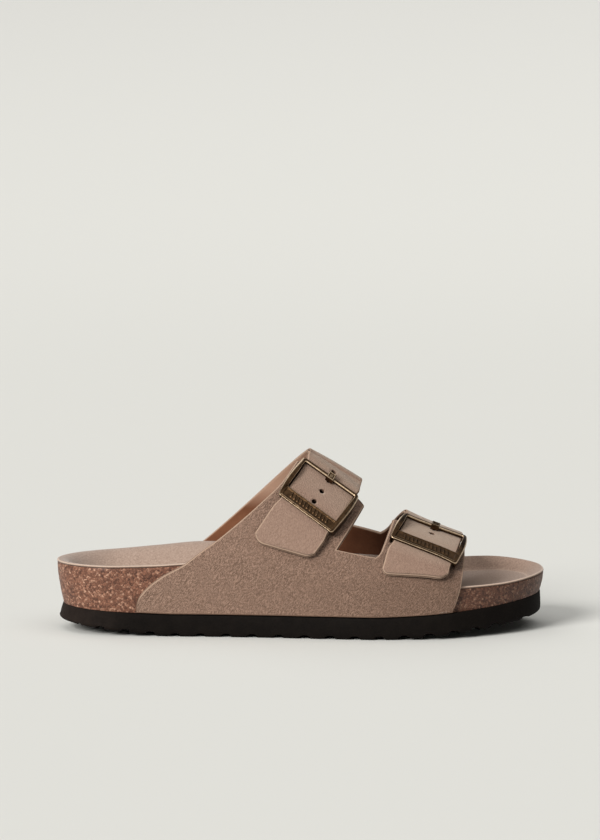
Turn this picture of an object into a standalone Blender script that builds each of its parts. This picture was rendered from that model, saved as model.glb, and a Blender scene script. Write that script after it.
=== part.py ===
"""Two-strap suede sandal on a contoured cork footbed, the right one of a pair.

Sizes are in millimetres until a mesh is made. Station s runs from the heel's end to the toe's tip,
y from the outer side (negative) to the inner side, and z up from the floor.
"""

import math

import bmesh
import bpy
import numpy as np

MM = 0.001
ROOT = "sandal"

# Driving sizes
LENGTH = 260.0
FIT_GAP = 0.3
UPPER_WALL = 2.2
INSOLE_SHEET = 1.2
OUTSOLE_TOP = 11.4
TREAD_DEPTH = 1.1
RING_POINTS = 80
OUTER, INNER = -1, 1

# Plan of the footbed's rim: share of length, outer edge and inner edge before the ends are rounded
PLAN = {
    "share": (0.00, 0.12, 0.28, 0.42, 0.55, 0.66, 0.76, 0.86, 1.00),
    "outer": (-33.0, -34.0, -35.5, -39.0, -44.0, -47.5, -47.5, -46.0, -46.0),
    "inner": (33.0, 34.0, 33.0, 32.0, 35.5, 42.0, 46.0, 47.0, 46.0),
}
HEEL_ROUND = 34.0
TOE_ROUND = {OUTER: (70.0, 2.0), INNER: (50.0, 3.0)}
TOE_TIP_Y = 9.0
SPINE = (36.0, 212.0)

# Heights along the foot: the rim on both sides, the footbed's floor, its arch and its wall's width
FOOTBED = {
    "share": (0.00, 0.10, 0.20, 0.30, 0.40, 0.50, 0.60, 0.70, 0.80, 0.90, 1.00),
    "outer_rim": (37.0, 37.0, 37.6, 39.0, 38.2, 35.2, 32.0, 29.2, 27.4, 28.0, 30.6),
    "inner_rim": (37.0, 37.6, 39.8, 42.0, 41.8, 37.8, 34.6, 32.4, 31.5, 32.3, 30.6),
    "floor": (25.4, 23.8, 23.8, 25.0, 26.8, 26.6, 23.6, 21.4, 23.0, 24.2, 25.0),
    "arch": (0.0, 0.5, 2.5, 5.5, 7.0, 5.5, 3.0, 1.0, 0.5, 1.0, 0.0),
    "wall": (23.0, 23.0, 23.0, 24.0, 24.0, 22.0, 17.0, 12.0, 9.5, 9.0, 11.0),
}
FOOTBED_INSETS = (0.1, 1.4, 4.0, 7.5, 11.5, 16.0, 22.0)
RIM_FLAT = 1.4
ARCH_REACH = 30.0

# Cork side and outsole: how far the cork's foot and the outsole's edge lie inside the rim's plan
SOLE_EDGE = {
    "share": (0.00, 0.08, 0.17, 0.30, 0.60, 0.80, 0.88, 1.00),
    "cork_inset": (3.2, 2.6, 1.6, 1.0, 0.8, 0.8, 1.2, 2.0),
    "outsole_inset": (3.0, 1.9, -0.9, -1.6, -1.8, -1.6, 0.5, 1.8),
    "outsole_flare": (1.9, 1.3, 0.5, 0.0, 0.0, 0.0, 0.0, 0.2),
}
CORK_ROWS = (0.0, 0.34, 0.67, 1.0)
HEEL_RISE = {"from": 62.0, "bottom": 5.9, "top": 2.6, "power": 1.1}
TOE_RISE = {"from": 168.0, "bottom": 8.6, "top": 8.0, "power": 1.5}
SOLE_EDGE_ROUND = (1.3, 1.5)

# Tread: wavy grooves across the outsole
GROOVE = {
    "first": 13.0,
    "pitch": 13.0,
    "count": 19,
    "width": 3.0,
    "wave": 2.2,
    "waves": 4,
    "reach": 62.0,
}

# The last above the rim: crest of the instep's inner surface and its fullness
RIDGE = {
    "station": (30.0, 80.0, 110.0, 133.0, 162.5, 186.0, 217.0, 236.0),
    "height": (121.5, 113.5, 104.6, 94.4, 76.9, 60.0, 47.0, 40.4),
    "offset": (2.0, 1.0, 0.0, -1.0, 1.0, 5.0, 6.0, 6.0),
    "outer_fullness": (1.30, 1.30, 1.25, 1.25, 1.30, 1.60, 1.70, 1.70),
    "inner_fullness": (1.80, 1.80, 1.80, 1.80, 1.80, 1.80, 1.80, 1.80),
}
THROAT_GIRTH = {OUTER: 0.135, INNER: 0.875}

# Edges of the two quarters in side view: height above the floor, station on that edge
OUTER_REAR = {
    "height": (10.8, 14.9, 20.2, 25.5, 31.8, 38.9, 44.8, 50.1, 60.3, 69.0, 79.1, 94.8),
    "station": (43.2, 43.2, 44.7, 48.8, 56.7, 69.7, 77.5, 85.3, 98.2, 108.5, 119.5, 131.0),
}
OUTER_FRONT = {
    "height": (10.8, 14.3, 17.8, 30.8, 41.3, 48.8),
    "station": (208.6, 209.0, 210.4, 214.0, 216.0, 216.6),
}
INNER_REAR = {
    "height": (10.8, 15.8, 20.8, 26.8, 34.8, 42.8, 60.8, 78.8, 94.2),
    "station": (52.0, 52.0, 53.6, 58.4, 67.5, 78.0, 98.5, 117.5, 133.4),
}
INNER_FRONT = {
    "height": (10.8, 16.8, 30.8, 40.8, 47.3),
    "station": (208.0, 209.5, 213.4, 215.0, 216.2),
}

# Straps: crest points of both edges with their forward lean, how far the edges sway forward below
# the crest, and the buckle's place along the strap from its tip
STRAPS = {
    "instep": {
        "rear": (133.4, 94.2, 0.69),
        "front": (161.9, 77.3, 0.715),
        "sway": 2.0,
        "tip": 0.050,
        "turn": (10.5, 8.7),
        "slant": 12.5,
        "rear_corner": (0.25, 5.0),
        "front_corner": (0.12, 2.6),
        "taper": (0.0, 0.02),
        "plate_at": 28.0,
        "tab_past": 5.0,
        "holes": (-2, -1, 0, 1),
        "hole_pitch": 8.0,
    },
    "toe": {
        "rear": (185.2, 60.5, 0.65),
        "front": (216.2, 47.3, 0.66),
        "sway": 0.0,
        "tip": -0.08,
        "turn": (6.0, 1.2),
        "slant": 12.5,
        "rear_corner": (0.16, 3.2),
        "front_corner": (0.13, 2.8),
        "taper": (0.08, 0.04),
        "plate_at": 20.4,
        "tab_past": 1.5,
        "holes": (-1, 0, 1, 2),
        "hole_pitch": 6.0,
    },
}
TAB_INSTEP_FRONT = (170.5, 76.7, 0.69)
TAB_TOE_REAR = (178.5, 60.0, 0.44)
SWAY_DROP = 12.0
THROAT_FILLET = 4.0
TAB_CORNER = 3.0

# Buckle sizes
STRAP_PINCH = 0.055
WINDOW_CLEAR = 0.4
FRAME_SIDE = 1.7
FRAME_BOW = 1.1
FRAME_ARCH = 1.2
FRAME_LONG = 27.8
PLATE_WIDE = 6.6
BAR_WIDE = 2.0
SIDE_SHORT = 0.3
PLATE_THICK = 1.5
BAR_THICK = 2.0
PIN_THICK = 2.0
PIN_WIDE = 2.2
STRAP_RUN_DOWN = 10.0
PRONG = {"half": 2.2, "pin_half": 0.8, "metal": 1.0}
HOLE_RADIUS = 1.7
HOLE_SIDES = 10
HOLE_PAST = 2.0

# Levels above the last at the buckle, from the tab outward
PIN_LEVEL = UPPER_WALL + FIT_GAP
SIDE_LEVEL = PIN_LEVEL + 0.6
STRAP_AT_PIN = PIN_LEVEL + PIN_THICK + FIT_GAP
STRAP_AT_BAR = UPPER_WALL + 2 * FIT_GAP
STRAP_AT_TIP = UPPER_WALL + 2 * FIT_GAP
PLATE_LEVEL = STRAP_AT_PIN + UPPER_WALL + FIT_GAP
BAR_LEVEL = STRAP_AT_BAR + UPPER_WALL + FIT_GAP

# Colours, roughness and metallic values
FINISH = {
    "taupe_suede": ((0.270, 0.190, 0.140), 0.95, 0.0),
    "footbed_suede": ((0.330, 0.250, 0.200), 0.95, 0.0),
    "cork": ((0.250, 0.120, 0.070), 0.90, 0.0),
    "black_foam": ((0.012, 0.010, 0.009), 0.80, 0.0),
    "antique_brass": ((0.150, 0.100, 0.050), 0.40, 0.9),
}


def curve(knots, values):
    """A smooth function through a table's rows that never overshoots them, level beyond its ends."""
    x, y = np.array(knots, float), np.array(values, float)
    chord = np.diff(y) / np.diff(x)
    before, after = np.append(chord[0], chord), np.append(chord, chord[-1])
    slope = np.where(before * after > 0, 2 * before * after / (before + after + 1e-12), 0.0)

    def at(v):
        v = min(max(v, x[0]), x[-1])
        i = min(int(np.searchsorted(x, v, side="right")) - 1, len(x) - 2)
        step = x[i + 1] - x[i]
        t = (v - x[i]) / step
        near = (1 + 2 * t) * (1 - t) ** 2 * y[i] + t * (1 - t) ** 2 * step * slope[i]
        far = t * t * (3 - 2 * t) * y[i + 1] - t * t * (1 - t) * step * slope[i + 1]
        return near + far

    return at


def columns(table, key):
    """One smooth function for each column of a table, read against the column named key."""
    return {name: curve(table[key], values) for name, values in table.items() if name != key}


def mix(a, b, t):
    return a + (b - a) * t


def eased(t):
    t = min(max(t, 0.0), 1.0)
    return t * t * (3 - 2 * t)


plan = columns(PLAN, "share")
footbed = columns(FOOTBED, "share")
sole_edge = columns(SOLE_EDGE, "share")
ridge = columns(RIDGE, "station")
outer_rear = curve(OUTER_REAR["height"], OUTER_REAR["station"])
outer_front = curve(OUTER_FRONT["height"], OUTER_FRONT["station"])
inner_rear = curve(INNER_REAR["height"], INNER_REAR["station"])
inner_front = curve(INNER_FRONT["height"], INNER_FRONT["station"])


def side_name(side):
    return "outer" if side == OUTER else "inner"


def axis_y(s):
    return TOE_TIP_Y * eased((s / LENGTH - 0.45) / 0.55)


def plan_y(s, side):
    """The rim's edge in plan: a table of widths, with the heel and the toe rounded off."""
    reach, power = TOE_ROUND[side]
    to_heel, to_toe = max(0.0, 1 - s / HEEL_ROUND), max(0.0, 1 - (LENGTH - s) / reach)
    rounded = math.sqrt(max(0.0, 1 - to_heel**2)) * max(0.0, 1 - to_toe**power) ** (1 / power)
    return axis_y(s) + (plan[side_name(side)](s / LENGTH) - axis_y(s)) * rounded


def rim_z(s, side):
    return footbed[side_name(side) + "_rim"](s / LENGTH)


def sole_rise(s, level):
    """How far the outsole's bottom or top curves up at the heel and the toe."""
    heel = max(0.0, 1 - s / HEEL_RISE["from"]) ** HEEL_RISE["power"]
    toe = max(0.0, (s - TOE_RISE["from"]) / (LENGTH - TOE_RISE["from"])) ** TOE_RISE["power"]
    return HEEL_RISE[level] * heel + TOE_RISE[level] * toe


def outsole_top_z(s):
    return OUTSOLE_TOP + sole_rise(s, "top")


def rim_station(i):
    """Station and side of the rim's point i: along the outer side to the toe, and back along the inner."""
    turn = 2 * math.pi * i / RING_POINTS
    side = OUTER if i <= RING_POINTS // 2 else INNER
    return LENGTH / 2 * (1 - math.cos(turn)), side


def ring(inset, height):
    """A closed ring of points inside the rim's plan. Both arguments are functions of s, side and y."""
    points = []
    for i in range(RING_POINTS):
        s, side = rim_station(i)
        edge = np.array((s, plan_y(s, side)))
        centre = np.array((min(max(s, SPINE[0]), SPINE[1]), 0.0))
        centre[1] = axis_y(centre[0])
        way = centre - edge
        depth = min(inset(s, side), 0.93 * np.linalg.norm(way))
        x, y = edge + way * depth / np.linalg.norm(way)
        points.append((x, y, height(s, side, x, y, depth)))
    return points


def footbed_z(s, side, x, y, depth):
    """The footbed's surface: a floor with an arch on the inner side, and a wall up to the rim."""
    share = x / LENGTH
    floor = footbed["floor"](share) + footbed["arch"](share) * eased(y / ARCH_REACH)
    wall = min(max((depth - RIM_FLAT) / footbed["wall"](s / LENGTH), 0.0), 1.0)
    return mix(floor, rim_z(s, side), 0.5 + 0.5 * math.cos(math.pi * wall))


def cork_inset(s, share_up):
    return sole_edge["cork_inset"](s / LENGTH) * (1 - share_up) ** 1.6


def last_point(s, girth):
    """A point on the upper's inner surface.

    Girth runs from -1 at the outsole to 0 at the rim on the outer side, over the crest at 0.5,
    and from 1 at the inner rim to 2 at the outsole.
    """
    side = OUTER if girth < 0.5 else INNER
    rim_y, top_z = plan_y(s, side) + side * FIT_GAP, rim_z(s, side)
    if girth < 0 or girth > 1:
        share_up = 1 + girth if girth < 0 else 2 - girth
        foot_z = outsole_top_z(s) + FIT_GAP
        return np.array((s, rim_y - side * cork_inset(s, share_up), mix(foot_z, top_z, share_up)))
    turn, power = math.pi * girth, 2 / ridge[side_name(side) + "_fullness"](s)
    across = max(0.0, abs(math.cos(turn))) ** power
    up = max(0.0, math.sin(turn)) ** power
    crest_y = ridge["offset"](s)
    return np.array((s, mix(crest_y, rim_y, across), mix(top_z, ridge["height"](s), up)))


def wall_point(s, girth, level):
    """The point that stands a given level off the last, along its normal."""
    step_s, step_g = 0.5, 0.004
    along = last_point(s + step_s, girth) - last_point(s - step_s, girth)
    low, high = max(girth - step_g, -1.0), min(girth + step_g, 2.0)
    around = last_point(s, high) - last_point(s, low)
    normal = np.cross(along, around)
    return last_point(s, girth) + normal / np.linalg.norm(normal) * level


def station_on(edge, girth):
    """Where a panel's edge, given as a function of height, crosses one girth line."""
    s = 150.0
    for _ in range(24):
        s = mix(s, edge(last_point(s, girth)[2]), 0.5)
    return s


def leaning_edge(line, side=1, fillet_from=None, sway=0.0):
    """An edge in side view through a point, with a forward lean, a soft sway and a flare at a quarter."""
    at_s, at_z, lean = line

    def edge(z):
        flare = 0.0
        if fillet_from is not None:
            close = min(max(1 - (z - fillet_from) / THROAT_FILLET, 0.0), 1.0)
            flare = THROAT_FILLET * (1 - math.sqrt(1 - close * close))
        drop = max(0.0, at_z - z) / SWAY_DROP
        return at_s + lean * (z - at_z) + side * flare + sway * drop * math.exp(1 - drop)

    return edge


def at_girth(outer_edge, inner_edge=None):
    """A panel's edge as a function of girth, with one edge on the outer side and one on the inner."""
    def station(girth):
        use_outer = girth < 0.5 or inner_edge is None
        return station_on(outer_edge if use_outer else inner_edge, girth)

    return station


class Strap:
    """Strap coordinates: across from 0 at the rear edge to 1 at the front, and run from the tip.

    Run is measured along the strap, so lines of equal run cross it square to its edges.
    """

    def __init__(self, name):
        self.sizes = STRAPS[name]
        self.rear = leaning_edge(self.sizes["rear"], sway=self.sizes["sway"])
        self.front = leaning_edge(self.sizes["front"], sway=self.sizes["sway"])
        self.lines = np.linspace(-0.2, 1.2, 15)
        self.girths = np.linspace(0.5, -0.2, 71)
        self.falls = [self.fall_along(across) for across in self.lines]
        self.tip_fall = np.interp(-self.sizes["tip"], -self.girths, self.falls[7])
        self.plate_from = self.sizes["plate_at"]
        self.bar_from = self.plate_from + FRAME_LONG - BAR_WIDE
        self.pin_at = self.plate_from + PLATE_WIDE / 2
        tab_end = self.bar_from + self.sizes["tab_past"] + 0.5
        runs = (0.0, self.pin_at - 4, self.pin_at + 4, self.bar_from, tab_end, tab_end + STRAP_RUN_DOWN)
        levels = (STRAP_AT_TIP, STRAP_AT_PIN, STRAP_AT_PIN, STRAP_AT_BAR, STRAP_AT_BAR, 0.0)
        self.lift = curve(runs, levels)
        self.prong_at = self.bar_from - FIT_GAP - PRONG["metal"] / 2
        at_bar = [self.place(across, self.bar_from, BAR_LEVEL) for across in (0.0, 1.0)]
        self.width = np.linalg.norm(at_bar[1] - at_bar[0])
        self.window_half = self.width * (0.5 - STRAP_PINCH / 2) + WINDOW_CLEAR
        self.frame_half = self.window_half + FRAME_SIDE

    def fall_along(self, across):
        """Length down the strap from the foot's crest at each girth, along one line of the strap."""
        points = [wall_point(self.station(across, g), g, UPPER_WALL) for g in self.girths]
        return np.concatenate(([0.0], np.cumsum(np.linalg.norm(np.diff(points, axis=0), axis=1))))

    def station(self, across, girth):
        return mix(station_on(self.rear, girth), station_on(self.front, girth), across)

    def turn(self, across, run):
        """How much lower a line of equal run lies toward the strap's front edge than at its middle."""
        to_bar = eased((run - self.plate_from) / FRAME_LONG)
        return mix(*self.sizes["turn"], to_bar) * (across - 0.5)

    def girth(self, across, run):
        falls = self.tip_fall - run + self.turn(self.lines, run)
        rows = [np.interp(fall, f, self.girths) for fall, f in zip(falls, self.falls)]
        return np.interp(across, self.lines, rows)

    def run(self, across, girth):
        fall = np.interp(across, self.lines, [np.interp(-girth, -self.girths, f) for f in self.falls])
        run = self.tip_fall - fall
        for _ in range(4):
            run = self.tip_fall - fall + self.turn(across, run)
        return run

    def tip_run(self, across):
        """The tip's end line: cut on a slant, with a round corner on each side."""
        rear_share, rear_rise = self.sizes["rear_corner"]
        front_share, front_rise = self.sizes["front_corner"]
        rear = rear_rise * max(0.0, 1 - across / rear_share) ** 2.4
        front = front_rise * max(0.0, 1 - (1 - across) / front_share) ** 2.4
        return self.sizes["slant"] * across + rear + front

    def pinched(self, across, run):
        """The strap draws in a little where it passes through the buckle, and tapers to its tip."""
        before = eased((run - self.plate_from + 6) / 6)
        after = eased((self.bar_from + 8 - run) / 6)
        to_tip = eased((self.plate_from - run) / self.plate_from)
        rear, front = self.sizes["taper"]
        across = across + to_tip * (rear * (1 - across) - front * across)
        return 0.5 + (across - 0.5) * (1 - STRAP_PINCH * before * after)

    def place(self, across, run, level):
        girth = self.girth(across, run)
        return wall_point(self.station(across, girth), girth, level)

    def offset(self, sideways, run, level):
        """As place, with the distance from the strap's middle line in millimetres."""
        return self.place(0.5 + sideways / self.width, run, level)


def thicken(faces, outer, inner):
    """Closes a sheet of faces into a solid wall between its outer and inner points."""
    count = len(outer)
    edges = {(f[i], f[(i + 1) % len(f)]) for f in faces for i in range(len(f))}
    rims = [(a, b) for a, b in edges if (b, a) not in edges]
    walls = [(b, a, a + count, b + count) for a, b in sorted(rims)]
    backs = [tuple(v + count for v in reversed(f)) for f in faces]
    return list(outer) + list(inner), list(faces) + backs + walls


def shell_of_rings(rings):
    """A closed solid through rings of points, with its first and last ring filled across."""
    count = RING_POINTS
    points = [p for points in rings for p in points]
    faces = []
    for k in range(len(rings) - 1):
        for i in range(count):
            a, b = k * count + i, k * count + (i + 1) % count
            faces.append((a, b, b + count, a + count))
    last = (len(rings) - 1) * count
    for i in range(count // 2):
        across = [i, i + 1, (count - i - 1) % count, (count - i) % count]
        cap = list(dict.fromkeys(across))
        faces.append(tuple(reversed(cap)))
        faces.append(tuple(last + v for v in cap))
    return points, faces


def finish(name):
    colour, roughness, metallic = FINISH[name]
    material = bpy.data.materials.get(name) or bpy.data.materials.new(name)
    material.use_nodes = True
    shader = material.node_tree.nodes["Principled BSDF"]
    shader.inputs["Base Color"].default_value = (*colour, 1.0)
    shader.inputs["Roughness"].default_value = roughness
    shader.inputs["Metallic"].default_value = metallic
    return material


def is_bent(face):
    a, b, c, d = (v.co for v in face.verts)
    return abs((b - a).cross(c - a).normalized().dot(d - a)) > 0.001 * MM


def solid(name, points, faces, finish_name=None):
    """An object from points in millimetres. Without a finish it is a hidden cutter or joining shape."""
    mesh = bpy.data.meshes.new(name)
    mesh.from_pydata([tuple(c * MM for c in p) for p in points], [], faces)
    shape = bmesh.new()
    shape.from_mesh(mesh)
    bent = [f for f in shape.faces if len(f.verts) == 4 and is_bent(f)]
    bmesh.ops.triangulate(shape, faces=bent, quad_method="SHORT_EDGE")
    bmesh.ops.recalc_face_normals(shape, faces=shape.faces)
    shape.to_mesh(mesh)
    shape.free()
    thing = bpy.data.objects.new(name, mesh)
    bpy.context.scene.collection.objects.link(thing)
    thing.parent = bpy.data.objects[ROOT]
    if finish_name is None:
        thing.hide_render = True
        thing.display_type = "WIRE"
    else:
        mesh.materials.append(finish(finish_name))
        mesh.shade_smooth()
        mesh.set_sharp_from_angle(angle=math.radians(35))
    return thing


def combine(thing, tool, operation):
    modifier = thing.modifiers.new(tool.name, "BOOLEAN")
    modifier.operation = operation
    modifier.object = tool
    modifier.solver = "EXACT"


def box_between(low, high):
    """Points and faces of a block, from its corner points on two opposite faces."""
    points = list(low) + list(high)
    n = len(low)
    sides = [(i, (i + 1) % n, (i + 1) % n + n, i + n) for i in range(n)]
    return points, sides + [tuple(range(n))[::-1], tuple(range(n, 2 * n))]


def joined(shapes):
    """Several separate shapes as one list of points and faces."""
    points, faces = [], []
    for shape_points, shape_faces in shapes:
        faces += [tuple(v + len(points) for v in f) for f in shape_faces]
        points += list(shape_points)
    return points, faces


def build_outsole():
    def inset(extra, flare=0.0):
        def at(s, side):
            share = s / LENGTH
            return sole_edge["outsole_inset"](share) + extra - flare * sole_edge["outsole_flare"](share)

        return at

    def bottom(up):
        return lambda s, side, x, y, depth: sole_rise(x, "bottom") + up

    def middle(s, side, x, y, depth):
        return mix(sole_rise(x, "bottom"), outsole_top_z(x), 0.5)

    def top(s, side, x, y, depth):
        return outsole_top_z(x)

    round_in, round_up = SOLE_EDGE_ROUND
    rings = [
        ring(inset(round_in + 16.0, 1.0), bottom(0.0)),
        ring(inset(round_in, 1.0), bottom(0.0)),
        ring(inset(0.0, 1.0), bottom(round_up)),
        ring(inset(0.0, 0.5), middle),
        ring(inset(0.0), top),
        ring(inset(16.0), top),
    ]
    outsole = solid("outsole", *shell_of_rings(rings), "black_foam")
    grooves = joined(groove(k) for k in range(GROOVE["count"]))
    combine(outsole, solid("tread_grooves", *grooves), "DIFFERENCE")


def groove(k):
    """One wavy bar across the sole, which follows its bottom."""
    middle = GROOVE["first"] + k * GROOVE["pitch"]
    steps = GROOVE["waves"] * 2
    low, high = [], []
    for j in range(steps + 1):
        y = mix(-GROOVE["reach"], GROOVE["reach"], j / steps)
        s = middle + GROOVE["wave"] * (1 if j % 2 else -1)
        for edge in (-0.5, 0.5):
            x = s + edge * GROOVE["width"]
            low.append((x, y, sole_rise(x, "bottom") - TREAD_DEPTH))
            high.append((x, y, sole_rise(x, "bottom") + TREAD_DEPTH))
    faces = [(2 * j, 2 * j + 1, 2 * j + 3, 2 * j + 2) for j in range(steps)]
    return thicken(faces, high, low)


def build_midsole():
    def under_sheet(s, side, x, y, depth):
        return footbed_z(s, side, x, y, depth) - INSOLE_SHEET - FIT_GAP

    def side_height(share_up):
        def at(s, side, x, y, depth):
            foot = outsole_top_z(x) + FIT_GAP
            return mix(foot, rim_z(s, side) - INSOLE_SHEET - FIT_GAP, share_up)

        return at

    foot = ring(lambda s, side: 16.0, side_height(0.0))
    sides = [ring(lambda s, side, u=u: cork_inset(s, u), side_height(u)) for u in CORK_ROWS[:-1]]
    tops = [ring(lambda s, side, d=d: d, under_sheet) for d in FOOTBED_INSETS]
    solid("midsole_cork", *shell_of_rings([foot] + sides + tops), "cork")


def build_insole():
    def sheet(drop):
        return lambda s, side, x, y, depth: footbed_z(s, side, x, y, depth) - drop

    under = [ring(lambda s, side, d=d: d, sheet(INSOLE_SHEET)) for d in reversed(FOOTBED_INSETS)]
    over = [ring(lambda s, side, d=d: d, sheet(0.0)) for d in FOOTBED_INSETS]
    solid("insole_footbed", *shell_of_rings(under + over), "footbed_suede")


def spread_columns(count):
    """Shares from 0 to 1, closer together near both edges."""
    return [0.5 - 0.5 * math.cos(math.pi * i / count) for i in range(count + 1)]


def quarter(name, base_girths, rear, front, arms, level, throat_columns=7):
    """One quarter of the upper: a band along the sole with two arms that rise from it.

    Each arm has its rear and front station by girth, the girth of its end by the share across,
    how that share is drawn in, and the number of its rows and columns.
    """
    throat = base_girths[-1]
    shares = [spread_columns(arm["columns"]) for arm in arms]
    ends = [(arm["rear"](throat), arm["front"](throat)) for arm in arms]
    first = [mix(*ends[0], u) for u in shares[0]]
    gap = [mix(ends[0][1], ends[1][0], i / throat_columns) for i in range(1, throat_columns)]
    top = first + gap + [mix(*ends[1], u) for u in shares[1]]
    across = [(s - top[0]) / (top[-1] - top[0]) for s in top]
    outer, inner, index, faces = [], [], {}, []

    def add(key, s, girth, lift):
        index[key] = len(outer)
        outer.append(wall_point(s, girth, lift + UPPER_WALL))
        inner.append(wall_point(s, girth, lift))

    for row, girth in enumerate(base_girths):
        back, fore = station_on(rear, girth), station_on(front, girth)
        for column, u in enumerate(across):
            s = top[column] if girth == throat else mix(back, fore, u)
            add((row, column), s, girth, 0.0)
    starts = (0, len(first) + len(gap))
    for arm, start, across_arm in zip(arms, starts, shares):
        for row in range(1, arm["rows"] + 1):
            for column, u in enumerate(across_arm):
                girth = mix(throat, arm["end"](u), row / arm["rows"])
                s = mix(arm["rear"](girth), arm["front"](girth), arm["inset"](u, girth))
                add((len(base_girths) - 1 + row, start + column), s, girth, level(arm, u, girth))
    for row, column in index:
        corners = [(row, column), (row, column + 1), (row + 1, column + 1), (row + 1, column)]
        if all(c in index for c in corners):
            faces.append(tuple(index[c] for c in corners))
    if throat > 0.5:
        faces = [tuple(reversed(f)) for f in faces]
    return solid(name, *thicken(faces, outer, inner), "taupe_suede")


def base_rows(side, count=3):
    """Girth rows from the outsole up the cork and on to the throat."""
    rim = 0.0 if side == OUTER else 1.0
    cork = [rim + side * (1 - u) for u in CORK_ROWS]
    return cork + [mix(rim, THROAT_GIRTH[side], (j + 1) / count) for j in range(count)]


def throat_height(side, s):
    return last_point(s, THROAT_GIRTH[side])[2]


def build_outer_quarter(straps):
    toe_rear = leaning_edge(TAB_TOE_REAR, -1, throat_height(OUTER, 175.0))
    edges = {
        "instep": (at_girth(outer_rear), at_girth(leaning_edge(TAB_INSTEP_FRONT))),
        "toe": (at_girth(toe_rear), at_girth(outer_front)),
    }

    def tab_end(strap):
        def at(u):
            corner = TAB_CORNER * abs(2 * u - 1) ** 5
            return strap.girth(u, strap.bar_from + strap.sizes["tab_past"] - corner)

        return at

    arms = []
    for name, rows, count in (("instep", 8, 9), ("toe", 7, 8)):
        arm = {"name": name, "rows": rows, "columns": count}
        arm["rear"], arm["front"] = edges[name]
        arm["end"] = tab_end(straps[name])
        arm["inset"] = lambda u, girth: u
        arms.append(arm)
    quarter("upper_outer_quarter", base_rows(OUTER), outer_rear, outer_front, arms, lambda arm, u, g: 0.0)


def build_inner_quarter(straps):
    instep, toe = straps["instep"], straps["toe"]
    instep_front = leaning_edge(STRAPS["instep"]["front"], 1, throat_height(INNER, 150.0))
    toe_rear = leaning_edge(STRAPS["toe"]["rear"], -1, throat_height(INNER, 175.0))
    edges = {
        "instep": (at_girth(instep.rear, inner_rear), at_girth(instep.front, instep_front)),
        "toe": (at_girth(toe.rear, toe_rear), at_girth(toe.front, inner_front)),
    }

    def tip_end(strap):
        return lambda u: strap.girth(u, strap.tip_run(u))

    def drawn_in(strap):
        return lambda u, girth: strap.pinched(u, strap.run(u, girth)) if girth < 0.5 else u

    def level(arm, u, girth):
        strap = straps[arm["name"]]
        return strap.lift(strap.run(u, girth)) if girth < 0.5 else 0.0

    arms = []
    for name, rows, count in (("instep", 24, 8), ("toe", 22, 8)):
        arm = {"name": name, "rows": rows, "columns": count}
        arm["rear"], arm["front"] = edges[name]
        arm["end"] = tip_end(straps[name])
        arm["inset"] = drawn_in(straps[name])
        arms.append(arm)
    return quarter("upper_inner_quarter_straps", base_rows(INNER), inner_rear, inner_front, arms, level)


def cut_holes(inner_quarter, straps):
    """Round holes through both straps, one pitch apart, one of them at the prong."""
    drills = []
    for strap in straps.values():
        for step in strap.sizes["holes"]:
            run = strap.prong_at + step * strap.sizes["hole_pitch"]
            turns = [2 * math.pi * i / HOLE_SIDES for i in range(HOLE_SIDES)]
            circle = [(HOLE_RADIUS * math.cos(t), run + HOLE_RADIUS * math.sin(t)) for t in turns]
            ends = (strap.lift(run) - HOLE_PAST, strap.lift(run) + UPPER_WALL + HOLE_PAST)
            drills.append(box_between(*([strap.offset(*c, level) for c in circle] for level in ends)))
    combine(inner_quarter, solid("strap_holes", *joined(drills)), "DIFFERENCE")


def block(strap, sideways, runs, levels, steps=6):
    """A block in strap coordinates that follows the strap's curve from side to side."""
    spans = np.linspace(*sideways, steps + 1)
    outline = [(b, levels[0]) for b in spans] + [(b, levels[1]) for b in reversed(spans)]
    return box_between(*([strap.offset(b, run, level) for b, level in outline] for run in runs))


def frame_side(strap, way, steps=6):
    """One deep side of a buckle frame, bowed outward and arched, from the wide plate to the thin bar."""
    sections = []
    for v in np.linspace(0, 1, steps + 1):
        run = mix(strap.plate_from + SIDE_SHORT, strap.bar_from + BAR_WIDE - SIDE_SHORT, v)
        bow = math.sin(math.pi * v)
        top = mix(PLATE_LEVEL + PLATE_THICK, BAR_LEVEL + BAR_THICK, eased(v)) - SIDE_SHORT + FRAME_ARCH * bow
        inside, out = strap.window_half, strap.frame_half + FRAME_BOW * bow
        corners = [(inside, SIDE_LEVEL), (out, SIDE_LEVEL), (out, top), (inside, top)]
        sections.append([strap.offset(way * b, run, level) for b, level in corners])
    points = [p for section in sections for p in section]
    faces = [(3, 2, 1, 0), tuple(4 * steps + c for c in range(4))]
    for k in range(steps):
        faces += [(4 * k + c, 4 * k + (c + 1) % 4, 4 * k + (c + 1) % 4 + 4, 4 * k + c + 4) for c in range(4)]
    return points, faces


def build_buckle(name, strap):
    """A cast frame: a wide plate over the strap, a thin bar, two deep sides, and a pin under the strap."""
    half = strap.frame_half - SIDE_SHORT
    plate_runs = (strap.plate_from, strap.plate_from + PLATE_WIDE)
    plate = block(strap, (-half, half), plate_runs, (PLATE_LEVEL, PLATE_LEVEL + PLATE_THICK))
    frame = solid(f"buckle_frame_{name}", *plate, "antique_brass")
    sides = joined([frame_side(strap, way) for way in (-1, 1)])
    combine(frame, solid(f"frame_sides_{name}", *sides), "UNION")
    bar_runs = (strap.bar_from, strap.bar_from + BAR_WIDE)
    bar = block(strap, (-half, half), bar_runs, (BAR_LEVEL, BAR_LEVEL + BAR_THICK))
    pin_runs = (strap.pin_at - PIN_WIDE / 2, strap.pin_at + PIN_WIDE / 2)
    pin = block(strap, (-half, half), pin_runs, (PIN_LEVEL, PIN_LEVEL + PIN_THICK))
    combine(frame, solid(f"frame_bars_{name}", *joined([bar, pin])), "UNION")


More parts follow.
